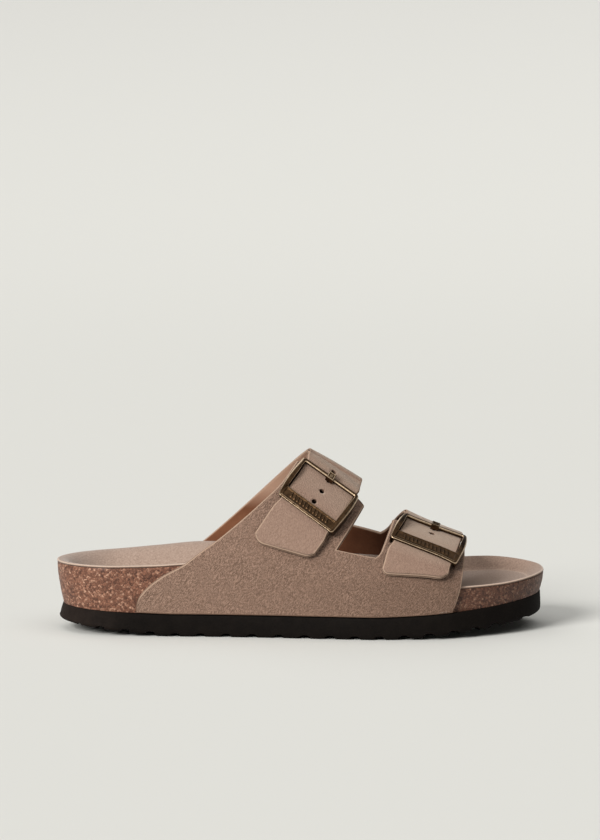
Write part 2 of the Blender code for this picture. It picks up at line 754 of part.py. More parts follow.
def build_prong(name, strap):
    """A square loop over the thin bar with a pin that drops through the strap's hole."""
    metal = PRONG["metal"]
    near, far = strap.bar_from - FIT_GAP, strap.bar_from + BAR_WIDE + FIT_GAP
    foot, under = BAR_LEVEL, BAR_LEVEL + BAR_THICK + FIT_GAP
    outline = [(near - metal, foot), (near - metal, under + metal), (far + metal, under + metal),
               (far + metal, foot), (far, foot), (far, under), (near, under), (near, foot)]
    ends = [[strap.offset(way * PRONG["half"], run, level) for run, level in outline] for way in (-1, 1)]
    loop = solid(f"buckle_prong_{name}", *box_between(*ends), "antique_brass")
    tip_level = STRAP_AT_BAR + FIT_GAP
    runs = (near - 0.9 * metal, near - 0.1 * metal)
    corners = [(-1, runs[0]), (1, runs[0]), (1, runs[1]), (-1, runs[1])]
    pin = [[strap.offset(way * PRONG["pin_half"], run, level) for way, run in corners]
           for level in (tip_level, under)]
    combine(loop, solid(f"prong_pin_{name}", *box_between(*pin)), "UNION")


def main():
    for thing in list(bpy.data.objects):
        bpy.data.objects.remove(thing)
    root = bpy.data.objects.new(ROOT, None)
    bpy.context.scene.collection.objects.link(root)
    straps = {name: Strap(name) for name in STRAPS}
    build_outsole()
    build_midsole()
    build_insole()
    build_outer_quarter(straps)
    cut_holes(build_inner_quarter(straps), straps)
    for name, strap in straps.items():
        build_buckle(name, strap)
        build_prong(name, strap)
    shown = [o for o in bpy.data.objects if o.type == "MESH" and not o.hide_render]
    corners = np.array([v.co for o in shown for v in o.data.vertices])
    low, high = corners.min(axis=0), corners.max(axis=0)
    root.location = (-(low[0] + high[0]) / 2, -(low[1] + high[1]) / 2, -low[2])


main()
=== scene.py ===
"""Looks of a two-strap suede sandal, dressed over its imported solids.

Sizes are in millimetres in the part's own frame, as in its source: station s runs from the heel's end
to the toe's tip, y from the outer side (negative) to the inner side, and z up from the floor.
"""

import math

import bmesh
import bpy
import numpy as np
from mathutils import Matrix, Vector, noise
from mathutils.kdtree import KDTree


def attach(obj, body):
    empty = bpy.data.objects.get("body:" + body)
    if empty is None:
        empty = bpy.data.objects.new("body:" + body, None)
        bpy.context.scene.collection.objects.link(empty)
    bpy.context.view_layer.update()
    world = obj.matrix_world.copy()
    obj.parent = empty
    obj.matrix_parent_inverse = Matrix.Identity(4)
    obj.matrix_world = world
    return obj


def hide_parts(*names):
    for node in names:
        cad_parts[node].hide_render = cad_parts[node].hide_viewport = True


MM = 0.001
ORIGIN = np.array((130.0, -1.452, 0.0))

# Driving sizes of the part
LENGTH = 260.0
FIT_GAP = 0.3
UPPER_WALL = 2.2
INSOLE_SHEET = 1.2
OUTSOLE_TOP = 11.4
OUTER, INNER = -1, 1

# Plan of the footbed's rim: share of length, outer edge and inner edge before the ends are rounded
PLAN = {
    "share": (0.00, 0.12, 0.28, 0.42, 0.55, 0.66, 0.76, 0.86, 1.00),
    "outer": (-33.0, -34.0, -35.5, -39.0, -44.0, -47.5, -47.5, -46.0, -46.0),
    "inner": (33.0, 34.0, 33.0, 32.0, 35.5, 42.0, 46.0, 47.0, 46.0),
}
AXIS_TURN = 0.45
HEEL_ROUND = 34.0
TOE_ROUND = {OUTER: (70.0, 2.0), INNER: (50.0, 3.0)}
TOE_TIP_Y = 9.0
SPINE = (36.0, 212.0)

# Heights along the foot: the rim on both sides, the footbed's floor, its arch and its wall's width
FOOTBED = {
    "share": (0.00, 0.10, 0.20, 0.30, 0.40, 0.50, 0.60, 0.70, 0.80, 0.90, 1.00),
    "outer_rim": (37.0, 37.0, 37.6, 39.0, 38.2, 35.2, 32.0, 29.2, 27.4, 28.0, 30.6),
    "inner_rim": (37.0, 37.6, 39.8, 42.0, 41.8, 37.8, 34.6, 32.4, 31.5, 32.3, 30.6),
    "floor": (25.4, 23.8, 23.8, 25.0, 26.8, 26.6, 23.6, 21.4, 23.0, 24.2, 25.0),
    "arch": (0.0, 0.5, 2.5, 5.5, 7.0, 5.5, 3.0, 1.0, 0.5, 1.0, 0.0),
    "wall": (23.0, 23.0, 23.0, 24.0, 24.0, 22.0, 17.0, 12.0, 9.5, 9.0, 11.0),
}
RIM_FLAT = 1.4
TOE_CREASE = {"from": 190.0, "over": 26.0, "wall": 0.60, "power": 0.8, "share": 0.9}
ARCH_REACH = 30.0

# Cork side and outsole: how far the cork's foot and the outsole's edge lie inside the rim's plan
SOLE_EDGE = {
    "share": (0.00, 0.08, 0.17, 0.30, 0.60, 0.80, 0.88, 1.00),
    "cork_inset": (3.2, 2.6, 1.6, 1.0, 0.8, 0.8, 1.2, 2.0),
    "outsole_inset": (3.0, 1.9, -0.9, -1.6, -1.8, -1.6, 0.5, 1.8),
    "outsole_flare": (1.9, 1.3, 0.5, 0.0, 0.0, 0.0, 0.0, 0.2),
}
CORK_FLARE = 1.6
HEEL_RISE = {"from": 62.0, "bottom": 5.9, "top": 2.6, "power": 1.1}
TOE_RISE = {"from": 168.0, "bottom": 8.6, "top": 8.0, "power": 1.5}
GROOVE = {
    "first": 13.0,
    "pitch": 13.0,
    "count": 19,
    "width": 3.6,
    "depth": 1.1,
    "mouth": 0.9,
    "mouth_from": 22.0,
    "mouth_over": 16.0,
    "wave": 2.2,
    "waves": 4,
    "reach": 62.0,
}

# The last above the rim: crest of the instep's inner surface and its fullness
RIDGE = {
    "station": (30.0, 80.0, 110.0, 133.0, 162.5, 186.0, 217.0, 236.0),
    "height": (121.5, 113.5, 104.6, 94.4, 76.9, 60.0, 47.0, 40.4),
    "offset": (2.0, 1.0, 0.0, -1.0, 1.0, 5.0, 6.0, 6.0),
    "outer_fullness": (1.30, 1.30, 1.25, 1.25, 1.30, 1.60, 1.70, 1.70),
    "inner_fullness": (1.80, 1.80, 1.80, 1.80, 1.80, 1.80, 1.80, 1.80),
}
CREST_ROUND = 0.065
THROAT_GIRTH = {OUTER: 0.135, INNER: 0.875}

# Edges of the two quarters in side view: heights above the floor, stations on that edge
OUTER_REAR = (
    (10.8, 14.9, 20.2, 25.5, 31.8, 38.9, 44.8, 50.1, 60.3, 69.0, 79.1, 94.8),
    (43.2, 43.2, 44.7, 48.8, 56.7, 69.7, 77.5, 85.3, 98.2, 108.5, 119.5, 131.0),
)
OUTER_FRONT = (
    (10.8, 14.3, 17.8, 30.8, 41.3, 48.8),
    (208.6, 209.0, 210.4, 214.0, 216.0, 216.6),
)
INNER_REAR = (
    (10.8, 15.8, 20.8, 26.8, 34.8, 42.8, 60.8, 78.8, 94.2),
    (52.0, 52.0, 53.6, 58.4, 67.5, 78.0, 98.5, 117.5, 133.4),
)
INNER_FRONT = (
    (10.8, 16.8, 30.8, 40.8, 47.3),
    (208.0, 209.5, 213.4, 215.0, 216.2),
)

# Straps: crest points of both edges with their forward lean, how far the edges sway forward below
# the crest, the tip's girth, slant, corners and taper, how far lines across turn at the plate and at
# the bar, the plate's place from the tip, and the holes, counted from the prong's
STRAPS = {
    "instep": {
        "rear": (133.4, 94.2, 0.69),
        "front": (161.9, 77.3, 0.715),
        "sway": 2.0,
        "tip": 0.050,
        "turn": (10.5, 8.7),
        "slant": 12.5,
        "rear_corner": (0.25, 5.0),
        "front_corner": (0.12, 2.6),
        "taper": (0.0, 0.02),
        "plate_at": 28.0,
        "tab_past": 5.0,
        "holes": (-2, -1, 0, 1),
        "hole_pitch": 8.0,
    },
    "toe": {
        "rear": (185.2, 60.5, 0.65),
        "front": (216.2, 47.3, 0.66),
        "sway": 0.0,
        "tip": -0.08,
        "turn": (6.0, 1.2),
        "slant": 12.5,
        "rear_corner": (0.16, 3.2),
        "front_corner": (0.13, 2.8),
        "taper": (0.08, 0.04),
        "plate_at": 20.4,
        "tab_past": 1.5,
        "holes": (-1, 0, 1, 2),
        "hole_pitch": 6.0,
    },
}
TAB_INSTEP_FRONT = (170.5, 76.7, 0.69)
TAB_TOE_REAR = (178.5, 60.0, 0.44)
SWAY_DROP = 12.0
THROAT_FILLET = 4.0
TAB_CORNER = 3.0
TAB_CLEAR = 0.5
TIP_CORNER_POWER = 2.4

# Buckle sizes
STRAP_PINCH = 0.055
PINCH_EASE = 6.0
PIN_RISE = 4.0
WINDOW_CLEAR = 0.4
WINDOW_TRIM = 0.25
WINDOW_CORNER = 0.7
FRAME_CORNER = 1.5
FRAME_SIDE = 1.7
FRAME_BOW = 1.1
FRAME_ARCH = 1.2
FRAME_SHOULDER = 1.5
FRAME_LONG = 27.8
PLATE_WIDE = 6.6
BAR_WIDE = 2.0
PLATE_THICK = 1.5
BAR_THICK = 2.0
PIN_THICK = 2.0
STRAP_RUN_DOWN = 10.0
PRONG = {"half": 2.2, "pin_half": 0.8, "metal": 1.0}
HOLE_RADIUS = 1.4

# Relief of a buckle's plate: height, place and half width of its beads, as shares of the plate's width;
# reach, first line, last line and side slope of its sunk panel and of the ribs on it
PLATE_BEADS = ((0.16, 0.13, 0.045), (-0.14, 0.24, 0.04))
PLATE_PANEL = {"depth": 0.42, "field": (0.90, 0.25, 0.92, 0.04)}
PLATE_RIBS = {"height": 0.36, "field": (0.72, 0.38, 0.84, 0.03), "pitch": 2.1, "lean": 0.25}
PLATE_SLOPE = 0.05
FRAME_EDGE = (0.32, 0.7)

# Relief of a prong's loop: how far in from its edge each step lies, and its height
LOOP_ROUND = (0.45, 0.35)
LOOP_GROUND = (0.72, 0.40)
LOOP_SQUARE = (1.25, 0.34)
LOOP_SLOPE = 0.14

# Levels above the last at the buckle, from the tab outward
PIN_LEVEL = UPPER_WALL + FIT_GAP
SIDE_UNDER = PIN_LEVEL + 0.2
STRAP_AT_PIN = PIN_LEVEL + PIN_THICK + FIT_GAP
STRAP_AT_BAR = UPPER_WALL + 2 * FIT_GAP
STRAP_AT_TIP = UPPER_WALL + 2 * FIT_GAP
PLATE_LEVEL = STRAP_AT_PIN + UPPER_WALL + FIT_GAP
BAR_LEVEL = STRAP_AT_BAR + UPPER_WALL + FIT_GAP

# Fineness of the dressed meshes
RING_POINTS = 420
WELD = 4e-6
WALL_REACH = 24.0
WALL_STEPS = 34
CORK_STEPS = 22
ARM_COLUMNS = 26
GAP_COLUMNS = 16
STRAP_LINES = np.linspace(-0.2, 1.2, 15)
STRAP_GIRTHS = np.linspace(0.5, -0.2, 71)
FRAME_STEPS = (150, 36, 60, 36)
FRAME_TURN = np.linspace(0, 1, 8)
HOLE_STEPS = 24

# Cork and its cover: gaps to their neighbours, and the rim's fold from below to its face, as inset
# from the rim's plan, drop below the face and tone from dark to pale
CORK_CLEAR = 0.1
CORK_INSIDE = 16.0
COVER_FACE = 1.2
COVER_BACK = 1.6
COVER_FOLD = (
    (0.75, 1.2, -1.0),
    (0.3, 1.14, -1.0),
    (0.04, 0.9, -1.0),
    (-0.06, 0.62, -0.4),
    (0.0, 0.3, 1.0),
    (0.22, 0.08, 1.0),
    (0.6, 0.0, 0.7),
)
# Painted highlight along the toe's crease and painted shade on the wall above it: paleness, place past
# the crease, half width, wall's darkening
CREASE_PAINTED_LIGHT_AND_SHADE = {"pale": 0.62, "past": 0.4, "half": 0.7, "wall": -0.25}

# Outsole's edge from its bottom to its top: extra inset, height as a share, flare as a share, rise
OUTSOLE_EDGE = (
    (16.0, 0.0, 1.0, 0.0),
    (1.5, 0.0, 1.0, 0.0),
    (0.75, 0.0, 1.0, 0.22),
    (0.22, 0.0, 1.0, 0.75),
    (0.0, 0.0, 1.0, 1.5),
    (-0.12, 0.3, 0.7, 0.0),
    (-0.12, 0.6, 0.4, 0.0),
    (0.0, 1.0, 0.0, -0.5),
    (0.16, 1.0, 0.0, -0.14),
    (0.5, 1.0, 0.0, 0.0),
    (16.0, 1.0, 0.0, 0.0),
)

# Suede panels: the order of their finishes, and how far in from its cut edge a panel is marked as rim
FACE_SLOT, LINING_SLOT, CUT_SLOT, SEAM_AND_SHADE_SLOT = range(4)
RIM_REACH = 2.4

# Cut edge of the suede, from its face to its lining: inset from the cut, level above the lining,
# and the strips of it that form the seam between the suede and the lining, dark partly as painted shade
# in its groove
CUT_SEAM = (3, 4, 5)
CUT_EDGE = (
    (0.95, 2.20),
    (0.62, 2.14),
    (0.38, 1.98),
    (0.26, 1.66),
    (0.66, 1.50),
    (0.66, 1.36),
    (0.10, 1.20),
    (0.00, 0.80),
    (0.04, 0.40),
    (0.16, 0.12),
    (0.45, 0.00),
)


def curve(knots, values):
    """A smooth function through a table's rows that never overshoots them, level beyond its ends."""
    x, y = np.array(knots, float), np.array(values, float)
    chord = np.diff(y) / np.diff(x)
    before, after = np.append(chord[0], chord), np.append(chord, chord[-1])
    slope = np.where(before * after > 0, 2 * before * after / (before + after + 1e-12), 0.0)

    def at(v):
        v = np.clip(v, x[0], x[-1])
        i = np.clip(np.searchsorted(x, v, side="right") - 1, 0, len(x) - 2)
        step = x[i + 1] - x[i]
        t = (v - x[i]) / step
        near = (1 + 2 * t) * (1 - t) ** 2 * y[i] + t * (1 - t) ** 2 * step * slope[i]
        far = t * t * (3 - 2 * t) * y[i + 1] - t * t * (1 - t) * step * slope[i + 1]
        return near + far

    return at


def columns(table, key):
    """One smooth function for each column of a table, read against the column named key."""
    return {name: curve(table[key], values) for name, values in table.items() if name != key}


def mix(a, b, t):
    return a + (b - a) * t


def eased(t):
    t = np.clip(t, 0.0, 1.0)
    return t * t * (3 - 2 * t)


def bell(x, middle, half):
    return np.exp(-(((x - middle) / half) ** 2))


def unit(vectors):
    return vectors / np.linalg.norm(vectors, axis=-1, keepdims=True)


plan = columns(PLAN, "share")
footbed = columns(FOOTBED, "share")
sole_edge = columns(SOLE_EDGE, "share")
ridge = columns(RIDGE, "station")
outer_rear = curve(*OUTER_REAR)
outer_front = curve(*OUTER_FRONT)
inner_rear = curve(*INNER_REAR)
inner_front = curve(*INNER_FRONT)


def axis_y(s):
    return TOE_TIP_Y * eased((s / LENGTH - AXIS_TURN) / (1 - AXIS_TURN))


def side_edge(s, side, name):
    """The rim's edge in plan on one side: a table of widths, with the heel and the toe rounded off."""
    reach, power = TOE_ROUND[side]
    to_heel = np.maximum(0.0, 1 - s / HEEL_ROUND)
    to_toe = np.maximum(0.0, 1 - (LENGTH - s) / reach)
    heel_round = np.sqrt(np.maximum(0.0, 1 - to_heel**2))
    toe_round = np.maximum(0.0, 1 - to_toe**power) ** (1 / power)
    return axis_y(s) + (plan[name](s / LENGTH) - axis_y(s)) * heel_round * toe_round


def plan_y(s, side):
    s = np.clip(s, 0.0, LENGTH)
    return np.where(side == OUTER, side_edge(s, OUTER, "outer"), side_edge(s, INNER, "inner"))


def rim_z(s, side):
    return np.where(side == OUTER, footbed["outer_rim"](s / LENGTH), footbed["inner_rim"](s / LENGTH))


def sole_rise(s, level):
    """How far the outsole's bottom or top curves up at the heel and the toe."""
    heel = np.maximum(0.0, 1 - s / HEEL_RISE["from"]) ** HEEL_RISE["power"]
    toe = np.maximum(0.0, (s - TOE_RISE["from"]) / (LENGTH - TOE_RISE["from"])) ** TOE_RISE["power"]
    return HEEL_RISE[level] * heel + TOE_RISE[level] * toe


def outsole_top_z(s):
    return OUTSOLE_TOP + sole_rise(s, "top")


def ring_stations():
    return LENGTH / 2 * (1 - np.cos(2 * math.pi * np.arange(RING_POINTS) / RING_POINTS))


def ring(inset, height):
    """A closed ring of points inside the rim's plan.

    Inset is a function of s and of the way to the spine; height one of s, side, x, y and depth.
    """
    s = ring_stations()
    side = np.where(np.arange(RING_POINTS) <= RING_POINTS // 2, OUTER, INNER)
    edge = np.column_stack((s, plan_y(s, side)))
    spine_s = np.clip(s, *SPINE)
    way = np.column_stack((spine_s, axis_y(spine_s))) - edge
    reach = np.linalg.norm(way, axis=1)
    depth = inset(s, reach)
    x, y = (edge + way * (depth / reach)[:, None]).T
    return np.column_stack((x, y, height(s, side, x, y, depth)))


def to_toe(s):
    return eased((s - TOE_CREASE["from"]) / TOE_CREASE["over"])


def footbed_z(s, side, x, y, depth):
    """The footbed's surface: a floor with an arch on the inner side, and a wall up to the rim."""
    share = x / LENGTH
    floor = footbed["floor"](share) + footbed["arch"](share) * eased(y / ARCH_REACH)
    wall = np.clip((depth - RIM_FLAT) / footbed["wall"](s / LENGTH), 0.0, 1.0)
    soft = 0.5 + 0.5 * np.cos(math.pi * wall)
    creased = np.maximum(0.0, 1 - wall / TOE_CREASE["wall"]) ** TOE_CREASE["power"]
    return mix(floor, rim_z(s, side), mix(soft, creased, TOE_CREASE["share"] * to_toe(s)))


def cork_inset(s, share_up):
    return sole_edge["cork_inset"](s / LENGTH) * (1 - share_up) ** CORK_FLARE


def last_point(s, girth):
    """Points on the upper's inner surface.

    Girth runs from -1 at the outsole to 0 at the rim on the outer side, over the crest at 0.5,
    and from 1 at the inner rim to 2 at the outsole.
    """
    s, girth = np.broadcast_arrays(np.asarray(s, float), np.asarray(girth, float))
    side = np.where(girth < 0.5, OUTER, INNER)
    rim_y, top_z = plan_y(s, side) + side * FIT_GAP, rim_z(s, side)
    share_up = np.clip(np.where(girth < 0, 1 + girth, 2 - girth), 0.0, 1.0)
    foot_z = outsole_top_z(s) + FIT_GAP
    low_y = rim_y - side * cork_inset(s, share_up)
    low_z = mix(foot_z, top_z, share_up)
    fullness = np.where(side == OUTER, ridge["outer_fullness"](s), ridge["inner_fullness"](s))
    fullness = mix(2.0, fullness, eased(np.abs(girth - 0.5) / CREST_ROUND))
    turn = math.pi * np.clip(girth, 0.0, 1.0)
    across = np.abs(np.cos(turn)) ** (2 / fullness)
    up = np.maximum(0.0, np.sin(turn)) ** (2 / fullness)
    high_y = mix(ridge["offset"](s), rim_y, across)
    high_z = mix(top_z, ridge["height"](s), up)
    on_cork = (girth < 0) | (girth > 1)
    return np.stack((s, np.where(on_cork, low_y, high_y), np.where(on_cork, low_z, high_z)), -1)


def last_normal(s, girth):
    step_s, step_g = 0.5, 0.004
    along = last_point(s + step_s, girth) - last_point(s - step_s, girth)
    low, high = np.maximum(girth - step_g, -1.0), np.minimum(girth + step_g, 2.0)
    around = last_point(s, high) - last_point(s, low)
    return unit(np.cross(along, around))


def wall_point(s, girth, level):
    """The points that stand a given level off the last, along its normal."""
    s, girth = np.asarray(s, float), np.asarray(girth, float)
    return last_point(s, girth) + last_normal(s, girth) * np.asarray(level, float)[..., None]


def station_on(edge, girth):
    """Where a panel's edge, given as a function of height, crosses each girth line, by nearing it."""
    first_guess, rounds = 150.0, 30
    s = np.full(np.shape(girth), first_guess)
    for _ in range(rounds):
        s = mix(s, edge(last_point(s, girth)[..., 2]), 0.5)
    return s


def leaning_edge(line, side=1, fillet_from=None, sway=0.0):
    """An edge in side view through a point, with a lean, a soft sway and a flare at a quarter."""
    at_s, at_z, lean = line

    def edge(z):
        flare = 0.0
        if fillet_from is not None:
            close = np.clip(1 - (z - fillet_from) / THROAT_FILLET, 0.0, 1.0)
            flare = THROAT_FILLET * (1 - np.sqrt(1 - close * close))
        drop = np.maximum(0.0, at_z - z) / SWAY_DROP
        return at_s + lean * (z - at_z) + side * flare + sway * drop * np.exp(1 - drop)

    return edge


def at_girth(outer_edge, inner_edge=None):
    """A panel's edge as a function of girth, with one edge on the outer side and one on the inner."""

    def station(girth):
        on_outer = station_on(outer_edge, girth)
        if inner_edge is None:
            return on_outer
        return np.where(np.asarray(girth) < 0.5, on_outer, station_on(inner_edge, girth))

    return station


class Strap:
    """Strap coordinates: across from 0 at the rear edge to 1 at the front, and run from the tip.

    Run is measured along the strap, so lines of equal run cross it square to its edges.
    """

    def __init__(self, name):
        self.sizes = STRAPS[name]
        self.rear = leaning_edge(self.sizes["rear"], sway=self.sizes["sway"])
        self.front = leaning_edge(self.sizes["front"], sway=self.sizes["sway"])
        self.falls = [self.fall_along(across) for across in STRAP_LINES]
        middle = self.falls[len(STRAP_LINES) // 2]
        self.tip_fall = np.interp(-self.sizes["tip"], -STRAP_GIRTHS, middle)
        self.plate_from = self.sizes["plate_at"]
        self.bar_from = self.plate_from + FRAME_LONG - BAR_WIDE
        self.pin_at = self.plate_from + PLATE_WIDE / 2
        tab_end = self.bar_from + self.sizes["tab_past"] + TAB_CLEAR
        over_pin = (self.pin_at - PIN_RISE, self.pin_at + PIN_RISE)
        runs = (0.0, *over_pin, self.bar_from, tab_end, tab_end + STRAP_RUN_DOWN)
        levels = (STRAP_AT_TIP, STRAP_AT_PIN, STRAP_AT_PIN, STRAP_AT_BAR, STRAP_AT_BAR, 0.0)
        self.lift = curve(runs, levels)
        self.prong_at = self.bar_from - FIT_GAP - PRONG["metal"] / 2
        at_bar = self.place(np.array((0.0, 1.0)), self.bar_from, BAR_LEVEL)
        self.width = np.linalg.norm(at_bar[1] - at_bar[0])
        self.window_half = self.width * (0.5 - STRAP_PINCH / 2) + WINDOW_CLEAR
        self.frame_half = self.window_half + FRAME_SIDE

    def fall_along(self, across):
        """Length down the strap from the foot's crest at each girth, along one line of the strap."""
        level = np.full(len(STRAP_GIRTHS), UPPER_WALL)
        points = wall_point(self.station(across, STRAP_GIRTHS), STRAP_GIRTHS, level)
        return np.concatenate(([0.0], np.cumsum(np.linalg.norm(np.diff(points, axis=0), axis=1))))

    def station(self, across, girth):
        return mix(station_on(self.rear, girth), station_on(self.front, girth), across)

    def between_lines(self, rows, across):
        """Reads a value that is known on each of the strap's lines at a place between them."""
        step = STRAP_LINES[1] - STRAP_LINES[0]
        at = np.clip((across - STRAP_LINES[0]) / step, 0, len(STRAP_LINES) - 1.001)
        low = at.astype(int)
        pick = np.indices(at.shape)
        return mix(rows[(low, *pick)], rows[(low + 1, *pick)], at - low)

    def turn(self, across, run):
        """How much lower a line of equal run lies toward the strap's front edge than at its middle."""
        to_bar = eased((run - self.plate_from) / FRAME_LONG)
        return mix(*self.sizes["turn"], to_bar) * (across - 0.5)

    def girth(self, across, run):
        across, run = np.broadcast_arrays(np.asarray(across, float), np.asarray(run, float))
        rows = [np.interp(self.tip_fall - run + self.turn(line, run), fall, STRAP_GIRTHS)
                for line, fall in zip(STRAP_LINES, self.falls)]
        return self.between_lines(np.array(rows), across)

    def run(self, across, girth):
        across, girth = np.broadcast_arrays(np.asarray(across, float), np.asarray(girth, float))
        rows = [np.interp(-girth, -STRAP_GIRTHS, fall) for fall in self.falls]
        fall = self.between_lines(np.array(rows), across)
        run = self.tip_fall - fall
        for _ in range(4):
            run = self.tip_fall - fall + self.turn(across, run)
        return run

    def tip_run(self, across):
        """The tip's end line: cut on a slant, with a round corner on each side."""
        end = self.sizes["slant"] * across
        for name, way in (("rear_corner", across), ("front_corner", 1 - across)):
            share, rise = self.sizes[name]
            end = end + rise * np.maximum(0.0, 1 - way / share) ** TIP_CORNER_POWER
        return end

    def pinched(self, across, run):
        """The strap draws in a little where it passes through the buckle, and tapers to its tip."""
        before = eased((run - self.plate_from + PINCH_EASE) / PINCH_EASE)
        after = eased((self.bar_from + BAR_WIDE + PINCH_EASE - run) / PINCH_EASE)
        to_tip = eased((self.plate_from - run) / self.plate_from)
        rear, front = self.sizes["taper"]
        across = across + to_tip * (rear * (1 - across) - front * across)
        return 0.5 + (across - 0.5) * (1 - STRAP_PINCH * before * after)

    def place(self, across, run, level):
        across, run, level = np.broadcast_arrays(across, run, level)
        girth = self.girth(across, run)
        return wall_point(self.station(across, girth), girth, level)

    def offset(self, sideways, run, level):
        """As place, with the distance from the strap's middle line in millimetres."""
        return self.place(0.5 + np.asarray(sideways, float) / self.width, run, level)


def ripple(points, size, seed):
    """Smooth noise between -1 and 1 at points in millimetres, with bumps of about the given size."""
    shift = Vector((seed * 17.3, seed * 5.1, seed * 9.7))
    return np.array([noise.noise(Vector(p) / size + shift) for p in points])


def mesh_object(name, points, faces, slots=None, smooth_under=None):
    """A new object from points in the part's millimetres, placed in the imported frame's metres."""
    mesh = bpy.data.meshes.new(name)
    mesh.from_pydata(((np.asarray(points) - ORIGIN) * MM).tolist(), [], faces)
    if slots is not None:
        mesh.polygons.foreach_set("material_index", slots)
    mesh.shade_smooth()
    if smooth_under is not None:
        mesh.set_sharp_from_angle(angle=math.radians(smooth_under))
    mesh.update()
    thing = bpy.data.objects.new(name, mesh)
    bpy.context.scene.collection.objects.link(thing)
    return thing


def add_values(thing, name, values):
    """Writes one number for each point of an object, for its finish to read."""
    thing.data.attributes.new(name, "FLOAT", "POINT").data.foreach_set("value", values)


def grid_faces(index):
    """Quads between the neighbours in a grid of point numbers."""
    return np.stack((index[:-1, :-1], index[:-1, 1:], index[1:, 1:], index[1:, :-1]), -1).reshape(-1, 4)


def tube_faces(rows, around, closed=False):
    """Quads between rows of points that each go once round a section."""
    index = np.arange(rows * around).reshape(rows, around)
    index = np.column_stack((index, index[:, :1]))
    return grid_faces(np.vstack((index, index[:1])) if closed else index).tolist()


def tube(rows):
    """A closed shape through rows of points that each go once round a section, with both ends filled."""
    around = len(rows[0])
    last = (len(rows) - 1) * around
    ends = [list(range(around))[::-1], list(range(last, last + around))]
    return np.concatenate(rows), tube_faces(len(rows), around) + ends


def shell_of_rings(rings):
    """Points and faces of a closed shell through rings, its first and last ring filled across."""
    count = RING_POINTS
    points, faces = np.concatenate(rings), tube_faces(len(rings), count)
    last = (len(rings) - 1) * count
    for i in range(count // 2):
        cap = list(dict.fromkeys((i, i + 1, (count - i - 1) % count, (count - i) % count)))
        faces.append(cap[::-1])
        faces.append([last + v for v in cap])
    return points, faces


def applied(thing):
    """Replaces an object's mesh by the result of its modifiers."""
    bpy.context.view_layer.update()
    shown = thing.evaluated_get(bpy.context.evaluated_depsgraph_get())
    mesh = bpy.data.meshes.new_from_object(shown)
    thing.modifiers.clear()
    thing.data = mesh
    return thing


def cut(thing, tool):
    """Cuts a tool's shape out of an object, removes the tool and welds slivers."""
    modifier = thing.modifiers.new("cut", "BOOLEAN")
    modifier.operation = "DIFFERENCE"
    modifier.object = tool
    modifier.solver = "EXACT"
    applied(thing)
    bpy.data.objects.remove(tool)
    shape = bmesh.new()
    shape.from_mesh(thing.data)
    bmesh.ops.remove_doubles(shape, verts=shape.verts, dist=WELD)
    bmesh.ops.dissolve_degenerate(shape, edges=shape.edges, dist=WELD)
    shape.to_mesh(thing.data)
    shape.free()


def joined(shapes):
    """Several separate shapes as one list of points and faces."""
    points, faces = [], []
    for shape_points, shape_faces in shapes:
        faces += [[v + len(points) for v in f] for f in shape_faces]
        points += list(shape_points)
    return points, faces


# Outsole

def groove(k):
    """One wavy channel across the sole, round in section, which follows its bottom."""
    middle = GROOVE["first"] + k * GROOVE["pitch"]
    steps, arc = GROOVE["waves"] * 12, 8
    turn = 2 * math.pi * (np.arange(arc) + 0.5) / arc
    rows = []
    for y in np.linspace(-GROOVE["reach"], GROOVE["reach"], steps + 1):
        phase = y / GROOVE["reach"] * math.pi * GROOVE["waves"]
        s = middle - GROOVE["wave"] * math.cos(phase)
        opening = 1 + GROOVE["mouth"] * eased((abs(y) - GROOVE["mouth_from"]) / GROOVE["mouth_over"])
        x = s + GROOVE["width"] / 2 * opening * np.cos(turn)
        z = sole_rise(s, "bottom") + GROOVE["depth"] * opening * np.sin(turn)
        rows.append(np.column_stack((x, np.full(arc, y), z)))
    points, faces = tube(rows)
    return points, [face[::-1] for face in faces]


def build_outsole():
    """The foam sheet with its rounded edge and the wavy tread in its bottom."""

    def inset(extra, flare):
        def at(s, reach):
            share = s / LENGTH
            return sole_edge["outsole_inset"](share) + extra - flare * sole_edge["outsole_flare"](share)

        return at

    def height(share_up, up):
        return lambda s, side, x, y, depth: mix(sole_rise(x, "bottom"), outsole_top_z(x), share_up) + up

    rings = []
    for extra, share_up, flare, up in OUTSOLE_EDGE:
        rings.append(ring(inset(extra, flare), height(share_up, up)))
    outsole = mesh_object("outsole_foam_sheet", *shell_of_rings(rings))
    tool = mesh_object("groove_tool", *joined(groove(k) for k in range(GROOVE["count"])))
    cut(outsole, tool)
    outsole.data.shade_smooth()
    outsole.data.set_sharp_from_angle(angle=math.radians(32))
    return outsole


# Cork core and its suede cover

def footbed_insets(first, steps=WALL_STEPS, to_spine=14):
    """Insets of the footbed's rings: close together down the wall, then even on to near the spine."""
    most_wall, most = 0.9, 0.985

    def wall(inset):
        return lambda s, reach: np.minimum(inset, most_wall * reach)

    def inward(t):
        return lambda s, reach: mix(np.minimum(WALL_REACH, most_wall * reach), most * reach, t)

    down = [wall(inset) for inset in np.linspace(first, WALL_REACH, steps)]
    return down + [inward(t) for t in np.linspace(0, 1, to_spine + 1)[1:]]


def level_inset(inset):
    return lambda s, reach: np.full_like(s, inset)


def footbed_sheet(drop):
    return lambda s, side, x, y, depth: footbed_z(s, side, x, y, depth) - drop


